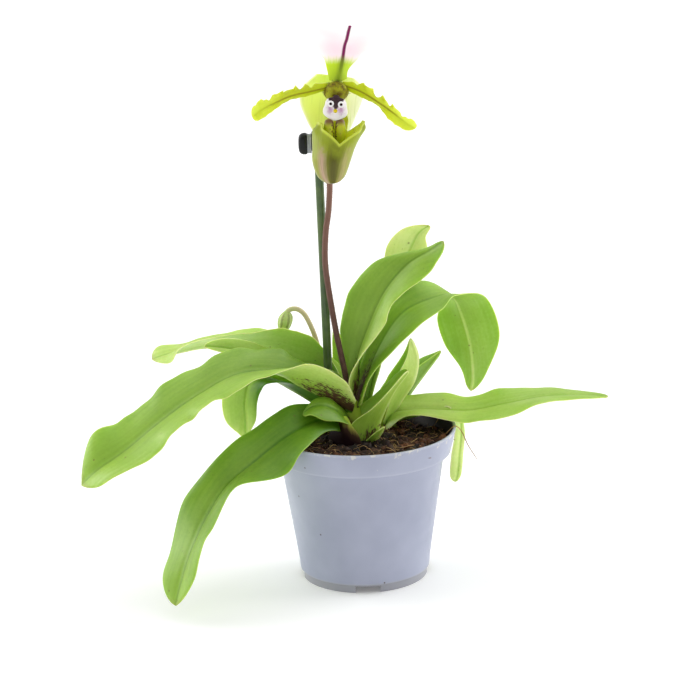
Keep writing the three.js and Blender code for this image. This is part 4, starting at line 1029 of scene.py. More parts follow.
def pouch_finish():
    """The pouch: glossy living tissue, dark olive down its front, with rose streaks low down beside that,
    greener higher up, a lime rim, and maroon spots inside."""
    pouch, add = new_material("pouch_tissue")
    turn, level, inside = (add(FACT, out="Fac", attribute_name=key) for key in ("turn", "level", "inside"))
    place = add(PLACE, out="Object")
    # streaks about 1 mm wide that run down the pouch
    narrowed = add(MATH, (turn, 0.12), operation="MULTIPLY")
    lengthwise = add(JOIN, (narrowed, level, inside))
    streaks = add(NOISE, {"Vector": lengthwise, "Scale": 1.5, "Detail": 3.0})
    # blotches about 4 mm wide
    blotches = add(NOISE, {"Vector": place, "Scale": 240.0, "Detail": 3.0})
    height = add(MATH, (blotches, 0.5, level), operation="MULTIPLY_ADD")
    face = add(RAMP, (height,), stops=((0.25, "#858036"), (1.0, "#98A628"), (0.6, "#979A38")))
    front = add(MATH, (turn, 84.0), operation="ADD")
    front = add(MATH, (front,), operation="ABSOLUTE")
    front = add(MATH, (streaks, -16.0, front), operation="MULTIPLY_ADD")
    front = add(MATH, (front, 8.0), operation="ADD")
    centre = add(RANGE, (front, 4.0, 38.0, 0.9, 0.0), **SMOOTH)
    browner = add(RANGE, (height, 0.9, 1.2, 1.0, 0.3), **SMOOTH)
    centre = add(MATH, (centre, browner), operation="MULTIPLY")
    face = add(MIX, (centre, face, "#4E4A08"), **COLOURS)
    outer = add(RANGE, (front, 34.0, 62.0, 1.0, 0.0), **SMOOTH)
    inner = add(RANGE, (front, 16.0, 38.0), **SMOOTH)
    rose = add(MATH, (inner, outer), operation="MULTIPLY")
    low = add(RANGE, (height, 0.85, 1.1, 0.85, 0.0), **SMOOTH)
    rose = add(MATH, (rose, low), operation="MULTIPLY")
    left_more = add(RANGE, (turn, -90.0, -50.0, 1.0, 0.4))
    rose = add(MATH, (rose, left_more), operation="MULTIPLY")
    face = add(MIX, (rose, face, "#C4A394"), **COLOURS)
    # brown veins about 0.4 mm wide
    veins = add(NOISE, {"Vector": lengthwise, "Scale": 3.2, "Detail": 2.0})
    vein = add(RANGE, (veins, 0.5, 0.7, 0.0, 0.35), **SMOOTH)
    face = add(MIX, (vein, face, "#6A5C2A"), **COLOURS)
    toe = add(RANGE, (level, 0.0, 0.16, 0.6, 0.0), **SMOOTH)
    face = add(MIX, (toe, face, "#9A8A5A"), **COLOURS)
    # maroon spots inside, 1 mm apart and gathered in places
    spots = add(CELLS, {"Vector": place, "Scale": 1000.0})
    gathered = add(RANGE, (blotches, 0.45, 0.65, 0.0, 0.9), **SMOOTH)
    spotted = add(RANGE, (spots, 0.25, 0.4, 1.0, 0.0), **SMOOTH)
    spotted = add(MATH, (spotted, gathered), operation="MULTIPLY")
    lining = add(MIX, (spotted, "#D6E222", "#5A2426"), **COLOURS)
    face = add(MIX, (inside, face, lining), **COLOURS)
    rim = add(RANGE, (level, 0.95, 0.99, 0.0, 0.7), **SMOOTH)
    face = add(MIX, (rim, face, "#D4E24E"), **COLOURS)
    relief = add(BUMP, {"Strength": 0.2, "Distance": 0.0004, "Height": streaks})
    return finish_surface(
        pouch, add, face, 0.34, Normal=relief, IOR=1.45, Specular_IOR_Level=0.35,
        Subsurface_Weight=0.2, Subsurface_Radius=(1.0, 0.8, 0.3), Subsurface_Scale=0.002,
    )


def lobe_finish():
    """The pouch's infolded lobes: glossy yellow-green tissue, maroon at the top, with maroon dots down the
    sides that face each other."""
    lobe, add = new_material("pouch_lobe_tissue")
    up, between = (add(FACT, out="Fac", attribute_name=key) for key in ("up", "between"))
    place = add(PLACE, out="Object")
    # dots 0.8 mm apart
    dots = add(NOISE, {"Vector": place, "Scale": 1300.0, "Detail": 1.0})
    near = add(RANGE, (between, 0.6, 2.2, 0.16, -0.1))
    dots = add(MATH, (dots, near), operation="ADD")
    dotted = add(RANGE, (dots, 0.6, 0.66, 0.0, 0.85), **SMOOTH)
    face = add(MIX, (dotted, "#D2DA2A", "#5C2628"), **COLOURS)
    cap = add(RANGE, (up, 0.72, 0.9, 0.0, 0.85), **SMOOTH)
    face = add(MIX, (cap, face, "#6E2A3C"), **COLOURS)
    return finish_surface(lobe, add, face, 0.3, IOR=1.45, Subsurface_Weight=0.2, Subsurface_Scale=0.001)


def add_pouch():
    around, levels, rolls = 128, 56, 6
    degrees = np.linspace(-180, 180, around, endpoint=False)
    steps = [(level, 0.0, 0.0, 0.0) for level in np.linspace(0, 1, levels)]
    for k in range(1, rolls):
        turn = math.pi * k / rolls
        steps.append((1.0, POUCH_WALL / 2 * (1 - math.cos(turn)), POUCH_WALL / 2 * math.sin(turn), 0.0))
    steps += [(level, POUCH_WALL, 0.0, 1.0) for level in np.linspace(1, POUCH_FLOOR, levels)]
    rings = np.array([pouch_ring(level, inset, rise, degrees) for level, inset, rise, _ in steps])
    facts = {
        "turn": np.tile(degrees, len(steps)),
        "level": np.repeat([step[0] for step in steps], around),
        "inside": np.repeat([step[3] for step in steps], around),
    }
    pouch = add_mesh("pouch", rings.reshape(-1, 3), loft_faces(len(steps), around), pouch_finish(), facts)
    keep(pouch, "lip_tissue", "lip")
    levels, around = 50, 28
    skins = [tube_rings(route, LOBE_RADII, around, levels, 1.5) for route in POUCH_LOBES]
    points, faces = joined(skins)
    middle = np.mean([route[1][0] for route in POUCH_LOBES])
    facts = {
        "up": np.tile(np.repeat(np.linspace(0, 1, levels), around), len(skins)),
        "between": np.abs(points[:, 0] - middle),
    }
    keep(add_mesh("pouch_lobes", points, faces, lobe_finish(), facts), "lip_tissue")


COLUMN_CENTRE, COLUMN_RADII = np.array([-7, -5, 233]), np.array([5.8, 5.5, 4.6])


def ball_rings(levels, around):
    """The rings of a ball of radius 1 from its lowest point to its highest."""
    turn = np.linspace(0, 2 * math.pi, around, endpoint=False)
    tilt = np.linspace(-math.pi / 2, math.pi / 2, levels)[:, None]
    return np.stack([np.cos(tilt) * np.cos(turn), np.cos(tilt) * np.sin(turn), np.sin(tilt) + 0 * turn], -1)


def add_hood():
    """The column behind the shield: dull olive tissue under short dark hairs."""
    tissue, add = new_material("hood_tissue")
    place = add(PLACE, out="Object")
    # blotches about 3 mm wide
    blotches = add(NOISE, {"Vector": place, "Scale": 300.0, "Detail": 3.0})
    face = add(RAMP, (blotches,), stops=((0.38, "#74640E"), (0.62, "#A9AC20")))
    finish_surface(tissue, add, face, 0.6, IOR=1.4, Specular_IOR_Level=0.25)
    points, faces = joined([COLUMN_CENTRE + ball_rings(28, 48) * COLUMN_RADII])
    cover = (points[:, 2] > COLUMN_CENTRE[2] - 1) & (points[:, 1] < COLUMN_CENTRE[1] + 1)
    hood = add_mesh("hood", points, faces, tissue, {"cover": cover})
    hair, add = new_material("dark_hair")
    finish_surface(hair, add, colour("#3A1E18"), 0.6)
    fuzz = scatter(
        "hood_hairs", hood, hair_shapes(4, 1.1, 0.06, 3), hair,
        Per_square_metre=2.0e6, Seed=5, Smallest=0.6, Largest=1.1, Lean=0.5,
    )
    keep(hood, "column_tissue", "column")
    keep(fuzz, "column_tissue")


SHIELD_CENTRE = np.array([-7.5, -13, 226.5])
SHIELD_HALF = [
    [0, 4.6], [1.7, 4.9], [3.4, 4.5], [4.6, 3.2], [5.0, 1.2],
    [5.6, -0.9], [5.3, -2.7], [3.9, -4.0], [2.0, -4.9], [0, -5.4],
]
SHIELD_THICKNESS = 1.2
DOME_EDGE, DOME_RISE, DOME_POWER = 0.45, 0.75, 2.5
BACK_BULGE, INNERMOST = 0.1, 0.02
SHIELD_LEAN = math.radians(6)
EYE_RADIUS, EYE_TUBE, EYE_SPACING, EYE_RISE, EYE_FORWARD = 1.05, 0.42, 4.7, 2.2, 0.45
BOSS_RADIUS, BOSS_RISE = 0.95, -0.9
NECK_ROUTE, NECK_RADIUS = [[0, 4, 0.5], [0, 4, -4.5]], 1.8


def shield_place(local):
    """Points across, up and forward on the shield, as millimetres about the pot's axis."""
    x, up, forward = np.moveaxis(np.asarray(local, float), -1, 0)
    c, s = math.cos(SHIELD_LEAN), math.sin(SHIELD_LEAN)
    return np.stack([c * x + s * up, -forward, c * up - s * x], -1) + SHIELD_CENTRE


def shield_finish():
    """The staminode: satin tissue, white at its lobes, purple beside its yellow boss and dark maroon between
    its two white eyes and inside them."""
    shield, add = new_material("shield_tissue")
    keys = ("across", "up", "eye", "boss", "from_eye")
    across, up, eye, boss, from_eye = (add(FACT, out="Fac", attribute_name=key) for key in keys)
    place = add(PLACE, out="Object")
    # veins about 0.8 mm wide
    veins = add(NOISE, {"Vector": place, "Scale": 1200.0, "Detail": 2.0})
    aside = add(MATH, (across,), operation="ABSOLUTE")
    beside = add(MATH, (aside, 2.4), operation="SUBTRACT")
    lower = add(MATH, (up, 0.6, 0.1), operation="MULTIPLY_ADD")
    from_streak = add("ShaderNodeVectorMath", (add(JOIN, (beside, lower, 0.0)),), "Value", operation="LENGTH")
    from_streak = add(MATH, (veins, 2.0, from_streak), operation="MULTIPLY_ADD")
    purple = add(RANGE, (from_streak, 0.9, 3.3, 0.75, 0.0), **SMOOTH)
    face = add(MIX, (purple, "#F8F2F3", "#A863A0"), **COLOURS)
    # the maroon between the eyes widens upwards
    wedge = add(MATH, (up, -0.75, aside), operation="MULTIPLY_ADD")
    wedge = add(MATH, (veins, 1.2, wedge), operation="MULTIPLY_ADD")
    maroon = add(RANGE, (wedge, 0.6, 1.5, 0.97, 0.0), **SMOOTH)
    maroon = add(MATH, (maroon, add(RANGE, (from_eye, 0.7, 1.0, 1.0, 0.0))), operation="MAXIMUM")
    face = add(MIX, (maroon, face, "#2E0212"), **COLOURS)
    face = add(MIX, (eye, face, "#FAF7F7"), **COLOURS)
    face = add(MIX, (boss, face, "#E0C81E"), **COLOURS)
    return finish_surface(
        shield, add, face, 0.45, IOR=1.45, Specular_IOR_Level=0.2,
        Subsurface_Weight=0.2, Subsurface_Radius=(1.0, 0.8, 0.9), Subsurface_Scale=0.001,
    )


def add_shield():
    around, steps = 96, 18
    right = SHIELD_HALF[1:-1]
    left = [[-x, up] for x, up in reversed(right)]
    loop = [SHIELD_HALF[0], *right, SHIELD_HALF[-1], *left]
    knots = np.array(loop[-2:] + loop + loop[:3], float)
    first, last = 2 / (len(knots) - 1), (2 + len(loop)) / (len(knots) - 1)
    outline = catmull_rom(knots, np.linspace(first, last, around, endpoint=False))
    front, back = [], []
    for share in np.linspace(1, INNERMOST, steps):
        dome = SHIELD_THICKNESS * (DOME_EDGE + DOME_RISE * math.sqrt(1 - share**DOME_POWER))
        front.append(np.concatenate([outline * share, np.full((around, 1), dome)], -1))
        bulge = BACK_BULGE * (1 - share)
        back.append(np.concatenate([outline * share, np.full((around, 1), bulge)], -1))
    skins = [np.array(back[::-1] + front)]
    turn = np.linspace(0, 2 * math.pi, 37)
    for side in (-1, 1):
        centre = np.array([side * EYE_SPACING / 2, EYE_RISE, SHIELD_THICKNESS + EYE_FORWARD])
        route = centre + EYE_RADIUS * np.stack([np.cos(turn), np.sin(turn), 0 * turn], -1)
        skins.append(tube_rings(route, [EYE_TUBE], 16, 48))
    boss_place = [0, BOSS_RISE, SHIELD_THICKNESS]
    skins.append(ball_rings(16, 24) * BOSS_RADIUS + boss_place)
    skins.append(tube_rings(NECK_ROUTE, [NECK_RADIUS], 24, 4))
    local, faces = joined(skins)
    counts = [skin.shape[0] * skin.shape[1] for skin in skins]
    kind = np.repeat(["plate", "eye", "eye", "boss", "neck"], counts)
    facts = {"across": local[:, 0], "up": local[:, 1], "eye": kind == "eye", "boss": kind == "boss"}
    facts["from_eye"] = np.hypot(abs(local[:, 0]) - EYE_SPACING / 2, local[:, 1] - EYE_RISE)
    shield = add_mesh("shield", shield_place(local), faces, shield_finish(), facts)
    keep(shield, "staminode_tissue", "staminode")


# ---------------------------------------------------------------- Stake, stems and bud

STAKE_RADIUS, SCAPE_RADIUS, OVARY_RADIUS, BUD_SCAPE_RADIUS = 2.0, 1.4, 2.2, 1.2
STAKE_ROUTE = [[-13.7, 12.5, 10], [-14.5, 12.5, 66], [-16.4, 12.5, 214]]
SCAPE_ROUTE = [
    [-5, 1, 79], [-6.5, 2, 96], [-10.5, 5, 118], [-13.6, 7, 140], [-14.6, 7, 153],
    [-13.8, 7.5, 166], [-12, 8.5, 178], [-10.3, 10, 204], [-9, 9.5, 216.5],
]
OVARY_ROUTE = [[-9, 9.3, 217], [-8.2, 8.8, 223.5], [-7.4, 6.5, 230], [-7, 1.2, 235]]
BUD_SCAPE_ROUTE = [
    [-4, 8, 82], [-8, 12, 89], [-13, 17.5, 96], [-18, 20, 103], [-21.5, 22, 114], [-25, 24, 121.5],
    [-28, 24, 124.6], [-31, 24, 125.2], [-33.4, 24, 124.2], [-34.4, 24, 122],
]
BUD_TOP, BUD_FOOT = np.array([-33.9, 24, 124.4]), np.array([-36, 24, 113.4])
BUD_RADII = [0.3, 1.9, 2.8, 3.2, 3.4, 3.4, 3.1, 2.2, 0.9]
BUD_RIDGES, BUD_RIDGE_DEPTH = 6, 0.125


def stem_finish(name, low, high, end, roughness):
    """Living flower stem under short down, which dulls it, with streaks that run along it."""
    stem, add = new_material(name)
    along, turn = (add(FACT, out="Fac", attribute_name=key) for key in ("along", "turn"))
    drawn_out = add(MATH, (along, 4.0), operation="MULTIPLY")
    lengthwise = add(JOIN, (turn, drawn_out, 0.0))
    # streaks a seventh of the way round the stem, 1 to 2 mm
    streaks = add(NOISE, {"Vector": lengthwise, "Scale": 7.0, "Detail": 3.0})
    face = add(RAMP, (along,), stops=((0.0, low), (1.0, end), (0.85, high)))
    streak = add(RANGE, (streaks, 0.45, 0.7, 0.0, 0.4), **SMOOTH)
    face = add(MIX, (streak, face, high), **COLOURS)
    relief = add(BUMP, {"Strength": 0.3, "Distance": 0.0003, "Height": streaks})
    return finish_surface(stem, add, face, roughness, Normal=relief, IOR=1.4, Sheen_Weight=0.1)


def add_stems():
    """The stake, a steel rod in a thin coat of green PVC, satin with duller rubbed patches, and the stems."""
    coat, add = new_material("green_pvc_coat")
    place = add(PLACE, out="Object")
    # rubbed patches about 8 mm wide
    patches = add(NOISE, {"Vector": place, "Scale": 120.0, "Detail": 4.0})
    face = add(RAMP, (patches,), stops=((0.35, "#355020"), (0.7, "#5A7036")))
    shine = add(RANGE, (patches, 0.3, 0.7, 0.3, 0.5), **SMOOTH)
    finish_surface(coat, add, face, shine, IOR=1.53)
    stake = add_tube("stake_rod", STAKE_ROUTE, [STAKE_RADIUS], coat, 32, 120, 0.5)
    keep(stake, "stake_coating", "stake")
    maroon = stem_finish("downy_maroon_stem", "#301214", "#845F50", "#8A6656", 0.6)
    scape = add_tube("scape_stem", SCAPE_ROUTE, [SCAPE_RADIUS], maroon, 24, 160)
    down, add = new_material("pale_down")
    finish_surface(down, add, colour("#6C4C42"), 0.7)
    hairs = scatter(
        "scape_hairs", scape, hair_shapes(4, 0.7, 0.035, 8), down,
        Per_square_metre=1.6e6, Seed=2, Smallest=0.6, Largest=1.2, Lean=0.4,
    )
    keep(scape, "scape_tissue", "scape")
    keep(hairs, "scape_tissue")
    green = stem_finish("green_stem", "#8FA03E", "#B4C45C", "#B4C45C", 0.55)
    ovary = add_tube("ovary_stem", OVARY_ROUTE, [1.7, OVARY_RADIUS, OVARY_RADIUS, 1.8], green, 24, 40)
    keep(ovary, "green_tissue", "ovary")
    tan = stem_finish("downy_tan_stem", "#B09A70", "#D3C69A", "#B7C97A", 0.6)
    bud_stem = add_tube("bud_stem", BUD_SCAPE_ROUTE, [BUD_SCAPE_RADIUS], tan, 20, 100, 0.4)
    keep(bud_stem, "bud_scape_tissue", "bud_scape")


def add_bud():
    """The bud: firm pale green tissue with brown-green seams that meet at its end."""
    tissue, add = new_material("bud_tissue")
    turn, along = (add(FACT, out="Fac", attribute_name=key) for key in ("turn", "along"))
    place = add(PLACE, out="Object")
    seams = add(MATH, (turn, BUD_RIDGES), operation="MULTIPLY")
    seams = add(MATH, (seams, 0.5), operation="PINGPONG")
    # brown streaks about 1.2 mm wide
    streaks = add(NOISE, {"Vector": place, "Scale": 800.0, "Detail": 2.0})
    seams = add(MATH, (streaks, -0.5, seams), operation="MULTIPLY_ADD")
    seam = add(RANGE, (seams, -0.16, 0.02, 0.55, 0.0), **SMOOTH)
    face = add(MIX, (seam, "#BCD27C", "#66663A"), **COLOURS)
    neck = add(RANGE, (along, 0.8, 1.0), **SMOOTH)
    face = add(MIX, (neck, face, "#B5CC74"), **COLOURS)
    finish_surface(tissue, add, face, 0.45, IOR=1.4, Subsurface_Weight=0.15, Subsurface_Scale=0.002)
    around, levels = 72, 40
    share = np.linspace(0, 1, levels)[:, None]
    angle = np.linspace(0, 2 * math.pi, around, endpoint=False)[None]
    knots = np.array(BUD_RADII)[:, None] * [1, 0, 0]
    swell = catmull_rom(knots, share[:, 0])[:, :1]
    ridge = np.abs(np.cos(BUD_RIDGES * angle / 2)) - 2 / math.pi
    radius = swell * (1 + BUD_RIDGE_DEPTH * ridge)
    centre = BUD_FOOT + (BUD_TOP - BUD_FOOT) * share
    rings = np.stack([
        centre[:, :1] + radius * np.cos(angle), centre[:, 1:2] + radius * np.sin(angle),
        centre[:, 2:] + 0 * radius,
    ], -1)
    facts = {"turn": np.tile(np.arange(around) / around, levels), "along": np.repeat(share, around)}
    points, faces = joined([rings])
    keep(add_mesh("bud_body", points, faces, tissue, facts), "bud_tissue", "bud")


# ---------------------------------------------------------------- Crown

MAIN_GROWTH = [
    [-5, 3, 55, 4], [-5, 3, 60, 7], [-5, 3, 66, 8.3], [-4.6, 3.2, 72, 7.2],
    [-4.3, 3.6, 78, 5.6], [-4, 4, 83, 3.6], [-4, 4, 85, 1.6],
]
SIDE_GROWTH = [
    [12, 23, 55, 3], [12, 23, 60, 5], [12, 23, 66, 5.4], [12.5, 23, 71, 4.2], [13, 23, 75, 2],
]
ROOT_ROUTES = [
    [[-5, 3, 60], [-16, -6, 48], [-24, -14, 26]], [[-4, 0, 58], [0, -14, 42], [4, -22, 20]],
    [[-3, 4, 60], [8, -2, 46], [22, -6, 24]], [[12, 23, 60], [20, 16, 44], [22, 12, 22]],
    [[-5, 6, 58], [-3, 18, 42], [-4, 24, 18]],
]
RHIZOME_ROUTE = [[-5, 3, 60], [3, 14, 58], [12, 23, 60]]
RHIZOME_RADIUS, ROOT_RADIUS = 3.2, 1.7
SHEATHS, SHEATH_STEP, SHEATH_RIDGE = 5, 0.05, 0.05
OLD_SHEATH = {
    "rows": [
        [[-17, -4, 63], [-9, -12, 62.5], [1, -11, 63]],
        [[-15, -5, 71], [-8.5, -12.5, 71], [-1, -11, 71]],
        [[-11.5, -5, 77], [-8, -12, 77], [-4, -10.5, 77]],
    ],
    "tip": [-8, -10, 81], "round": 0.5,
}


def growth_rings(levels):
    """Stacked sheaths: a ridged skin through levels of centre and radius."""
    around, count = 64, 60
    turn = np.linspace(0, 2 * math.pi, around, endpoint=False)
    rings = []
    for share in np.linspace(0, 1, count):
        x, y, z, radius = catmull_rom(levels, np.array([share]))[0]
        step = (share * SHEATHS) % 1.0
        ridge = SHEATH_RIDGE * np.cos(4 * turn + share * (len(levels) - 1))
        ridged = radius * (1 + ridge - SHEATH_STEP * step)
        rings.append(np.stack([x + ridged * np.cos(turn), y + ridged * np.sin(turn), z + 0 * turn], -1))
    return np.array(rings)


def add_crown():
    """The growths' stacked sheaths: firm living tissue, nearly black maroon low down, green higher up."""
    sheath, add = new_material("sheath_tissue")
    place = add(PLACE, out="Object")
    lengthwise = add("ShaderNodeMapping", {"Vector": place, "Scale": (1.0, 1.0, 0.15)})
    # streaks about 1.7 mm wide that run up the sheaths
    streaks = add(NOISE, {"Vector": lengthwise, "Scale": 600.0, "Detail": 3.0})
    aside, height = (add("ShaderNodeSeparateXYZ", (place,), key) for key in ("X", "Z"))
    shade = add(MATH, (streaks, 0.006, aside), operation="MULTIPLY_ADD")
    shade = add(MATH, (height, 1.2, shade), operation="MULTIPLY_ADD")
    shade = add(RANGE, (shade, 0.078 + AXIS[0], 0.096 + AXIS[0]))
    greens = ((0.2, "#1E0C10"), (0.8, "#9DB83A"), (0.45, "#3C2A1C"), (0.6, "#7C7834"))
    face = add(RAMP, (shade,), stops=greens)
    finish_surface(sheath, add, face, 0.6, IOR=1.4, Specular_IOR_Level=0.12)
    skins = [growth_rings(MAIN_GROWTH), growth_rings(SIDE_GROWTH)]
    skins.append(tube_rings(RHIZOME_ROUTE, [RHIZOME_RADIUS], 24, 30))
    skins += [tube_rings(route, [ROOT_RADIUS], 16, 30, 1.5) for route in ROOT_ROUTES]
    points, faces = joined(skins)
    keep(add_mesh("crown_sheaths", points, faces, sheath), "crown_tissue", "crown")
    keep(add_blade("old_sheath", OLD_SHEATH, sheath, along=60, across=30, groove=0), "crown_tissue")


# ---------------------------------------------------------------- Pot and growing medium

POT_HEIGHT, POT_RIM_RADIUS, POT_RIM_WIDTH, POT_RIM_DEPTH, POT_WALL = 72, 45, 1.6, 1.5, 1
COLLAR_HEIGHT, COLLAR_RADIUS = 11.5, 42.2
SHOULDER_RADIUS, BASE_RADIUS, BASE_HEIGHT = 39.2, 31.3, 8
FOOT_RADIUS, FOOT_HEIGHT, FOOT_WIDTH, FOOT_TOP_RADIUS, FLOOR_HEIGHT = 30, 4, 1.6, 31, 2.2
NOTCH_WIDTH, NOTCH_HEIGHT, NOTCHES, NOTCH_START = 11.7, 3.2, 4, math.radians(-88)
NOTCH_REACH, CUT_BELOW = 4, 1
HOLE_RADIUS, HOLE_CIRCLE, HOLES, HOLE_CUT = 3.5, 20, 8, (0.5, 5.0)
SHARP_EDGE = 35
INNER_SHADE_DEPTH = 0.6
LEDGE = POT_HEIGHT - COLLAR_HEIGHT
POT_CORNER = 0.35
POT_PROFILE = [
    [0, FLOOR_HEIGHT], [FOOT_RADIUS - FOOT_WIDTH, FLOOR_HEIGHT], [FOOT_RADIUS - FOOT_WIDTH, 0],
    [FOOT_RADIUS, 0], [FOOT_RADIUS, FOOT_HEIGHT], [FOOT_TOP_RADIUS, FOOT_HEIGHT],
    [BASE_RADIUS, BASE_HEIGHT], [SHOULDER_RADIUS, LEDGE], [COLLAR_RADIUS, LEDGE],
    [POT_RIM_RADIUS, POT_HEIGHT], [POT_RIM_RADIUS - POT_RIM_WIDTH, POT_HEIGHT],
    [POT_RIM_RADIUS - POT_RIM_WIDTH, POT_HEIGHT - POT_RIM_DEPTH],
    [COLLAR_RADIUS - POT_WALL, LEDGE + POT_WALL], [SHOULDER_RADIUS - POT_WALL, LEDGE + POT_WALL],
    [BASE_RADIUS - POT_WALL, BASE_HEIGHT], [FOOT_RADIUS - POT_WALL, FLOOR_HEIGHT + POT_WALL],
    [0, FLOOR_HEIGHT + POT_WALL],
]
# painted highlights: how much paler the pot is painted at shares of its height, where its edges catch the
# light
EDGE_HIGHLIGHTS = (
    (0.0, "#000000"), (1.0, "#FFFFFF"), (0.052, "#000000"), (0.058, "#FFFFFF"), (0.068, "#000000"),
    (0.834, "#000000"), (0.842, "#FFFFFF"), (0.856, "#000000"), (0.985, "#000000"),
)


def rounded(profile, radius, steps=4):
    """A profile with each corner but its two ends turned into a small arc."""
    made = [np.array(profile[0], float)]
    for before, corner, after in zip(profile, profile[1:], profile[2:]):
        before, corner, after = (np.array(p, float) for p in (before, corner, after))
        cut = min(radius, 0.45 * np.linalg.norm(before - corner), 0.45 * np.linalg.norm(after - corner))
        start = corner + unit(before - corner) * cut
        end = corner + unit(after - corner) * cut
        for t in np.linspace(0, 1, steps):
            made.append((1 - t) ** 2 * start + 2 * t * (1 - t) * corner + t * t * end)
    made.append(np.array(profile[-1], float))
    return np.array(made)


def lathe_rings(profile, around):
    """The rings that a profile of radius and height sweeps round the pot's axis."""
    turn = np.linspace(0, 2 * math.pi, around, endpoint=False)
    radius, height = profile[:, :1], profile[:, 1:]
    return np.stack([radius * np.cos(turn), radius * np.sin(turn), height + 0 * turn], -1)


def cut_by(piece, skins):
    """Cuts closed skins out of a piece, and marks its sharp edges."""
    points, faces = joined(skins)
    cutter = add_mesh("cutter", points, faces, piece.data.materials[0])
    modifier = piece.modifiers.new("Cut", "BOOLEAN")
    modifier.object = cutter
    modifier.solver = "EXACT"
    piece.data = baked(piece, modifier)
    bpy.data.objects.remove(cutter)
    piece.data.set_sharp_from_angle(angle=math.radians(SHARP_EDGE))


def pot_finish():
    """Polypropylene, injection moulded and thin: a soft sheen over a fine texture, lime and dust along the
    rim, painted highlights along its edges, painted shade inside the collar, a greyer foot, and a few dark
    specks of compost."""
    plastic, add = new_material("moulded_polypropylene")
    place = add(PLACE, out="Object")
    height = add("ShaderNodeSeparateXYZ", (place,), "Z")
    # patchy colour from the moulding flow, about 30 mm wide
    flow = add(NOISE, {"Vector": place, "Scale": 35.0, "Detail": 3.0})
    face = add(RAMP, (flow,), stops=((0.35, "#9CA1B6"), (0.65, "#A8ADC1")))
    # dried lime and dust, in patches about 5 mm wide along the rim
    dust = add(NOISE, {"Vector": place, "Scale": 220.0, "Detail": 5.0, "Roughness": 0.7})
    near_rim = add(RANGE, (height, 0.067, 0.0718), **SMOOTH)
    dust_left = add(MATH, (near_rim, 0.16, dust), operation="MULTIPLY_ADD")
    dusty = add(RANGE, (dust_left, 0.7, 0.76, 0.0, 0.7), **SMOOTH)
    face = add(MIX, (dusty, face, "#D8D3C4"), **COLOURS)
    # painted shade: the wall inside the collar is painted nearly black, as if in deep shade, and is a little
    # lighter only in a few patches
    soiled = add(FACT, out="Fac", attribute_name="soiled")
    painted_inner_shade = add(MATH, (dust, 0.5, soiled), operation="MULTIPLY_ADD")
    painted_inner_shade = add(RANGE, (painted_inner_shade, 0.95, 1.15, 0.0, 0.97), **SMOOTH)
    face = add(MIX, (painted_inner_shade, face, "#22160F"), **COLOURS)
    # painted highlights: the foot's step, the ledge and the rim painted paler, where they catch the light
    share = add(MATH, (height, POT_HEIGHT * MM), operation="DIVIDE")
    wear_and_highlight = add(RAMP, (share,), stops=EDGE_HIGHLIGHTS)
    wear_and_highlight = add(MATH, (wear_and_highlight, 0.22), operation="MULTIPLY")
    face = add(MIX, (wear_and_highlight, face, "#DCDFE6"), **COLOURS)
    # the foot greyer and a little darker, towards the bottom
    greyer_foot = add(RANGE, (share, 0.05, 0.07, 0.6, 0.0), **SMOOTH)
    face = add(MIX, (greyer_foot, face, "#9A9896"), **COLOURS)
    # specks of compost, about 0.6 mm, a few centimetres apart
    specks = add(CELLS, {"Vector": place, "Scale": 110.0})
    speck = add(RANGE, (specks, 0.03, 0.06, 0.85, 0.0), **SMOOTH)
    face = add(MIX, (speck, face, "#4A3A2E"), **COLOURS)
    # the mould's fine texture, drawn at 0.6 mm because the real grain is too fine to show
    grain = add(NOISE, {"Vector": place, "Scale": 1600.0, "Detail": 2.0})
    relief = add(BUMP, {"Strength": 0.12, "Distance": 0.0002, "Height": grain})
    shine = add(RANGE, (dust, 0.3, 0.7, 0.34, 0.5), **SMOOTH)
    return finish_surface(plastic, add, face, shine, Normal=relief, IOR=1.49)


def add_pot():
    points, faces = joined([lathe_rings(rounded(POT_PROFILE, POT_CORNER), 192)])
    reach = np.hypot(points[:, 0], points[:, 1])
    outer_wall = np.interp(points[:, 2], [LEDGE, POT_HEIGHT], [COLLAR_RADIUS, POT_RIM_RADIUS])
    # the wall inside the collar, which is given painted shade
    soiled = (points[:, 2] > LEDGE) & (reach < outer_wall - INNER_SHADE_DEPTH * POT_WALL)
    pot = add_mesh("pot_body", points, faces[:-2], pot_finish(), {"soiled": soiled})
    cutters = []
    for k in range(NOTCHES):
        turn = NOTCH_START + 2 * math.pi * k / NOTCHES
        out = np.array([math.cos(turn), math.sin(turn), 0])
        aside = np.array([-math.sin(turn), math.cos(turn), 0]) * NOTCH_WIDTH / 2
        corners = [(-1, -1), (-1, 1), (1, 1), (1, -1)]
        cutters.append(np.array([
            [out * (FOOT_RADIUS + NOTCH_REACH * a) + aside * b + [0, 0, z] for a, b in corners]
            for z in (-CUT_BELOW, NOTCH_HEIGHT)
        ]))
    for k in range(HOLES + 1):
        turn = 2 * math.pi * k / HOLES
        reach = HOLE_CIRCLE if k < HOLES else 0
        hole = lathe_rings(np.array([[HOLE_RADIUS, z] for z in HOLE_CUT]), 32)
        cutters.append(hole + [reach * math.cos(turn), reach * math.sin(turn), 0])
    cut_by(pot, cutters)
    keep(pot, "pot_plastic", "pot")


SOIL_HEIGHT, SOIL_BUMP, HOLLOW_DEPTH, HOLLOW_RADIUS, HOLLOW = 66, 1.3, 5, 10, (25, 22)
SOIL_CLEARANCE, SOIL_EDGE, SOIL_CENTRE, LOOSE_EDGE, GROWTH_CLEARANCE = 0.5, 41, 0.3, 39.5, 0.5
FLOOR_CLEARANCE = 0.6
GAP = 0.3
STRAY_FIBRE = [[40, -4, 69], [44.3, -5, 73], [47.5, -5, 70], [50.3, -5, 63.4], [54.4, -5, 56.4]]


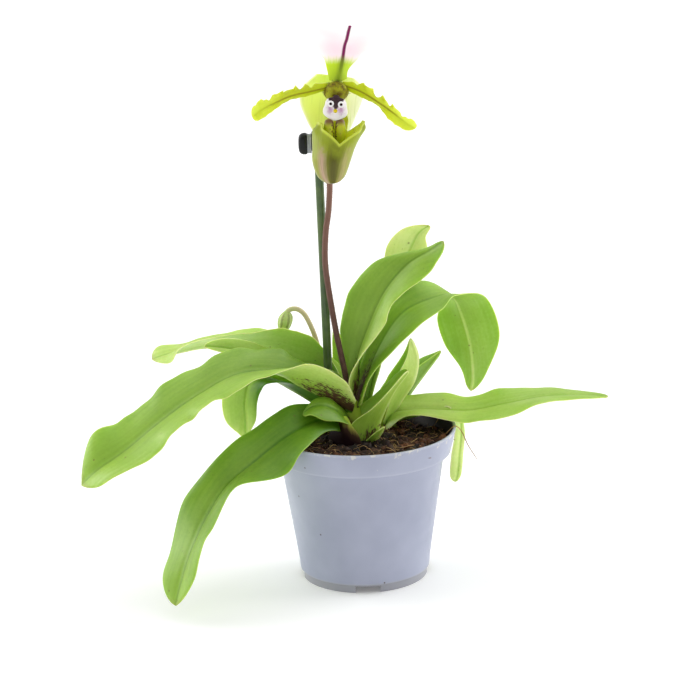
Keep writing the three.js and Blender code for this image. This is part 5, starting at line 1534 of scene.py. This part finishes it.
def soil_top(x, y):
    """The height of the growing medium's uneven top."""
    waves = np.sin(0.55 * x + 0.3 * y) + np.sin(0.7 * y - 0.4 * x + 1) + np.sin(0.9 * (x + y) + 2)
    away = np.hypot(x - HOLLOW[0], y - HOLLOW[1]) / HOLLOW_RADIUS
    return SOIL_HEIGHT + SOIL_BUMP * waves / 3 - HOLLOW_DEPTH * np.exp(-(away**2))


def bark_finish():
    """Damp pine bark, chopped: dark red-brown, rough and matt, with paler broken faces, and painted nearly
    black beside the crown, as painted shade under the leaves."""
    bark, add = new_material("pine_bark")
    place = add(PLACE, out="Object")
    # each chip takes its own tone from cells about 6 mm wide
    lumps = add(CELLS, {"Vector": place, "Scale": 170.0}, "Color")
    # broken grain about 1 mm wide
    grain = add(NOISE, {"Vector": place, "Scale": 900.0, "Detail": 4.0})
    tone = add(MATH, (lumps, 0.5, add(MATH, (grain, 0.5), operation="MULTIPLY")), operation="MULTIPLY_ADD")
    tones = ((0.3, "#1A0F09"), (0.8, "#8A5A34"), (0.5, "#3A2114"), (0.65, "#5E3820"))
    face = add(RAMP, (tone,), stops=tones)
    growth = tuple(to_row([-4, -3, SOIL_HEIGHT]))
    from_growth = add("ShaderNodeVectorMath", (place, growth), "Value", operation="DISTANCE")
    # painted shade under the leaves: nearly black within 12 mm of the crown, fading out by 24 mm
    crown_shade = add(RANGE, (from_growth, 0.012, 0.024, 0.75, 0.0), **SMOOTH)
    face = add(MIX, (crown_shade, face, "#0E0706"), **COLOURS)
    relief = add(BUMP, {"Strength": 0.6, "Distance": 0.0006, "Height": grain})
    return finish_surface(bark, add, face, 0.75, Normal=relief, IOR=1.4)


def add_medium():
    """The growing medium: chopped bark, with loose coconut fibre that is dry, matt and tan to brown."""
    bark = bark_finish()
    coir, add = new_material("coconut_fibre")
    place = add(PLACE, out="Object")
    # lighter and darker stretches about 8 mm long
    patches = add(NOISE, {"Vector": place, "Scale": 120.0, "Detail": 2.0})
    face = add(RAMP, (patches,), stops=((0.35, "#6A4526"), (0.65, "#C9A66A")))
    finish_surface(coir, add, face, 0.7)
    around = 128
    inner = POT_WALL + SOIL_CLEARANCE
    ledge = LEDGE + POT_WALL + GAP
    floor = FLOOR_HEIGHT + POT_WALL + GAP
    heights = np.array([floor, BASE_HEIGHT, ledge])
    slope = (SHOULDER_RADIUS - BASE_RADIUS) / (LEDGE - BASE_HEIGHT)
    wall = BASE_RADIUS - inner + slope * (heights - BASE_HEIGHT) - [FLOOR_CLEARANCE, 0, 0]
    side = lathe_rings(np.array([*zip(wall, heights), (COLLAR_RADIUS - inner, ledge)]), around)
    turn = np.linspace(0, 2 * math.pi, around, endpoint=False)
    radius = np.linspace(SOIL_EDGE, SOIL_CENTRE, 40)[:, None]
    x, y = radius * np.cos(turn), radius * np.sin(turn)
    top = np.stack([x, y, soil_top(x, y)], -1)
    points, faces = joined([np.concatenate([side, top])])
    loose = np.hypot(x, y) < LOOSE_EDGE
    for growth_x, growth_y, _, growth_radius in (MAIN_GROWTH[2], SIDE_GROWTH[2]):
        loose &= np.hypot(x - growth_x, y - growth_y) > growth_radius + GROWTH_CLEARANCE
    facts = {"cover": np.concatenate([np.zeros(side.shape[:2]), loose])}
    body = add_mesh("medium_body", points, faces, bark, facts)
    chips = scatter(
        "bark_chips", body, chip_shapes(8, (6.5, 4, 2.4), 11), bark,
        Per_square_metre=1.7e5, Seed=4, Smallest=0.5, Largest=1.15, Lean=0.7,
    )
    fibres = scatter(
        "coir_fibres", body, fibre_shapes(10, 15, 0.16, 0.16, 7), coir,
        Per_square_metre=9.0e4, Seed=9, Smallest=0.5, Largest=1.2, Lean=0.35,
    )
    keep(body, "bark_and_coir", "growing_medium")
    keep(chips, "bark_and_coir")
    keep(fibres, "bark_and_coir")
    keep(add_tube("stray_fibre", STRAY_FIBRE, [0.3, 0.25, 0.15], coir, 8, 40), "bark_and_coir")


# ---------------------------------------------------------------- Clip

CLIP_SQUARENESS = 3.2
KNOB_CENTRE, KNOB_HALF = np.array([-23.3, 12, 206.8]), (3.5, 5.0)
# places along the knob, band and plate, from the knob's middle, with their sizes there
KNOB_STEPS = [
    (2.05, 0.9), (1.85, 0.96), (1.3, 1.0), (0.2, 0.99), (-0.7, 0.93), (-1.4, 0.82), (-1.8, 0.66),
    (-2.0, 0.4), (-2.05, 0.1),
]
BAND_STEPS = [
    (2.1, 0.84), (2.2, 0.9), (2.5, 0.93), (2.75, 0.86), (3.05, 0.93), (3.3, 0.86), (3.6, 0.93),
    (3.9, 0.93), (4.1, 0.84),
]
PLATE_STEPS = [(4.15, 0.8), (4.3, 0.88), (4.7, 0.88), (4.85, 0.8)]
PLATE_RISE = 1.2


def clip_skin(steps, rise=0.0):
    """A skin of rounded-off oblongs stacked along X."""
    turn = np.linspace(0, 2 * math.pi, 64, endpoint=False)
    across, up = np.cos(turn), np.sin(turn)
    corner = (np.abs(across) ** CLIP_SQUARENESS + np.abs(up) ** CLIP_SQUARENESS) ** (-1 / CLIP_SQUARENESS)
    rings = []
    for x, size in steps:
        y = KNOB_HALF[0] * size * corner * across
        z = KNOB_HALF[1] * size * corner * up + rise
        rings.append(KNOB_CENTRE + np.stack([x + 0 * turn, y, z], -1))
    return np.array(rings)


def add_clip():
    """The clip, in moulded ABS: a glossy black knob, plate and ring, and a matt grey ribbed band. The ring
    keeps its solid."""
    plastics = []
    for name, shades, shine in (
        ("black_moulded_abs", ("#070909", "#121617"), 0.35),
        ("grey_moulded_abs", ("#8B8E96", "#A9ABB4"), 0.45),
    ):
        plastic, add = new_material(name)
        place = add(PLACE, out="Object")
        # handling marks about 2 mm wide
        marks = add(NOISE, {"Vector": place, "Scale": 500.0, "Detail": 3.0})
        face = add(RAMP, (marks,), stops=((0.35, shades[0]), (0.7, shades[1])))
        wear_and_highlight = add(RANGE, (marks, 0.3, 0.7, shine, shine + 0.15), **SMOOTH)
        plastics.append(finish_surface(plastic, add, face, wear_and_highlight, IOR=1.53, Specular_IOR_Level=0.25))
    black, grey = plastics
    frame["nodes"]["clip_ring"].material_slots[0].material = black
    knob = add_mesh("clip_knob", *joined([clip_skin(KNOB_STEPS), clip_skin(PLATE_STEPS, PLATE_RISE)]), black)
    keep(knob, "clip_black", "clip_grip")
    keep(add_mesh("clip_ribs", *joined([clip_skin(BAND_STEPS)]), grey), "clip_grey", "clip_band")


# ---------------------------------------------------------------- The whole plant

add_camera()
add_studio()
add_leaves()
add_petals()
add_pouch()
add_hood()
add_shield()
add_stems()
add_bud()
add_crown()
add_pot()
add_medium()
add_clip()
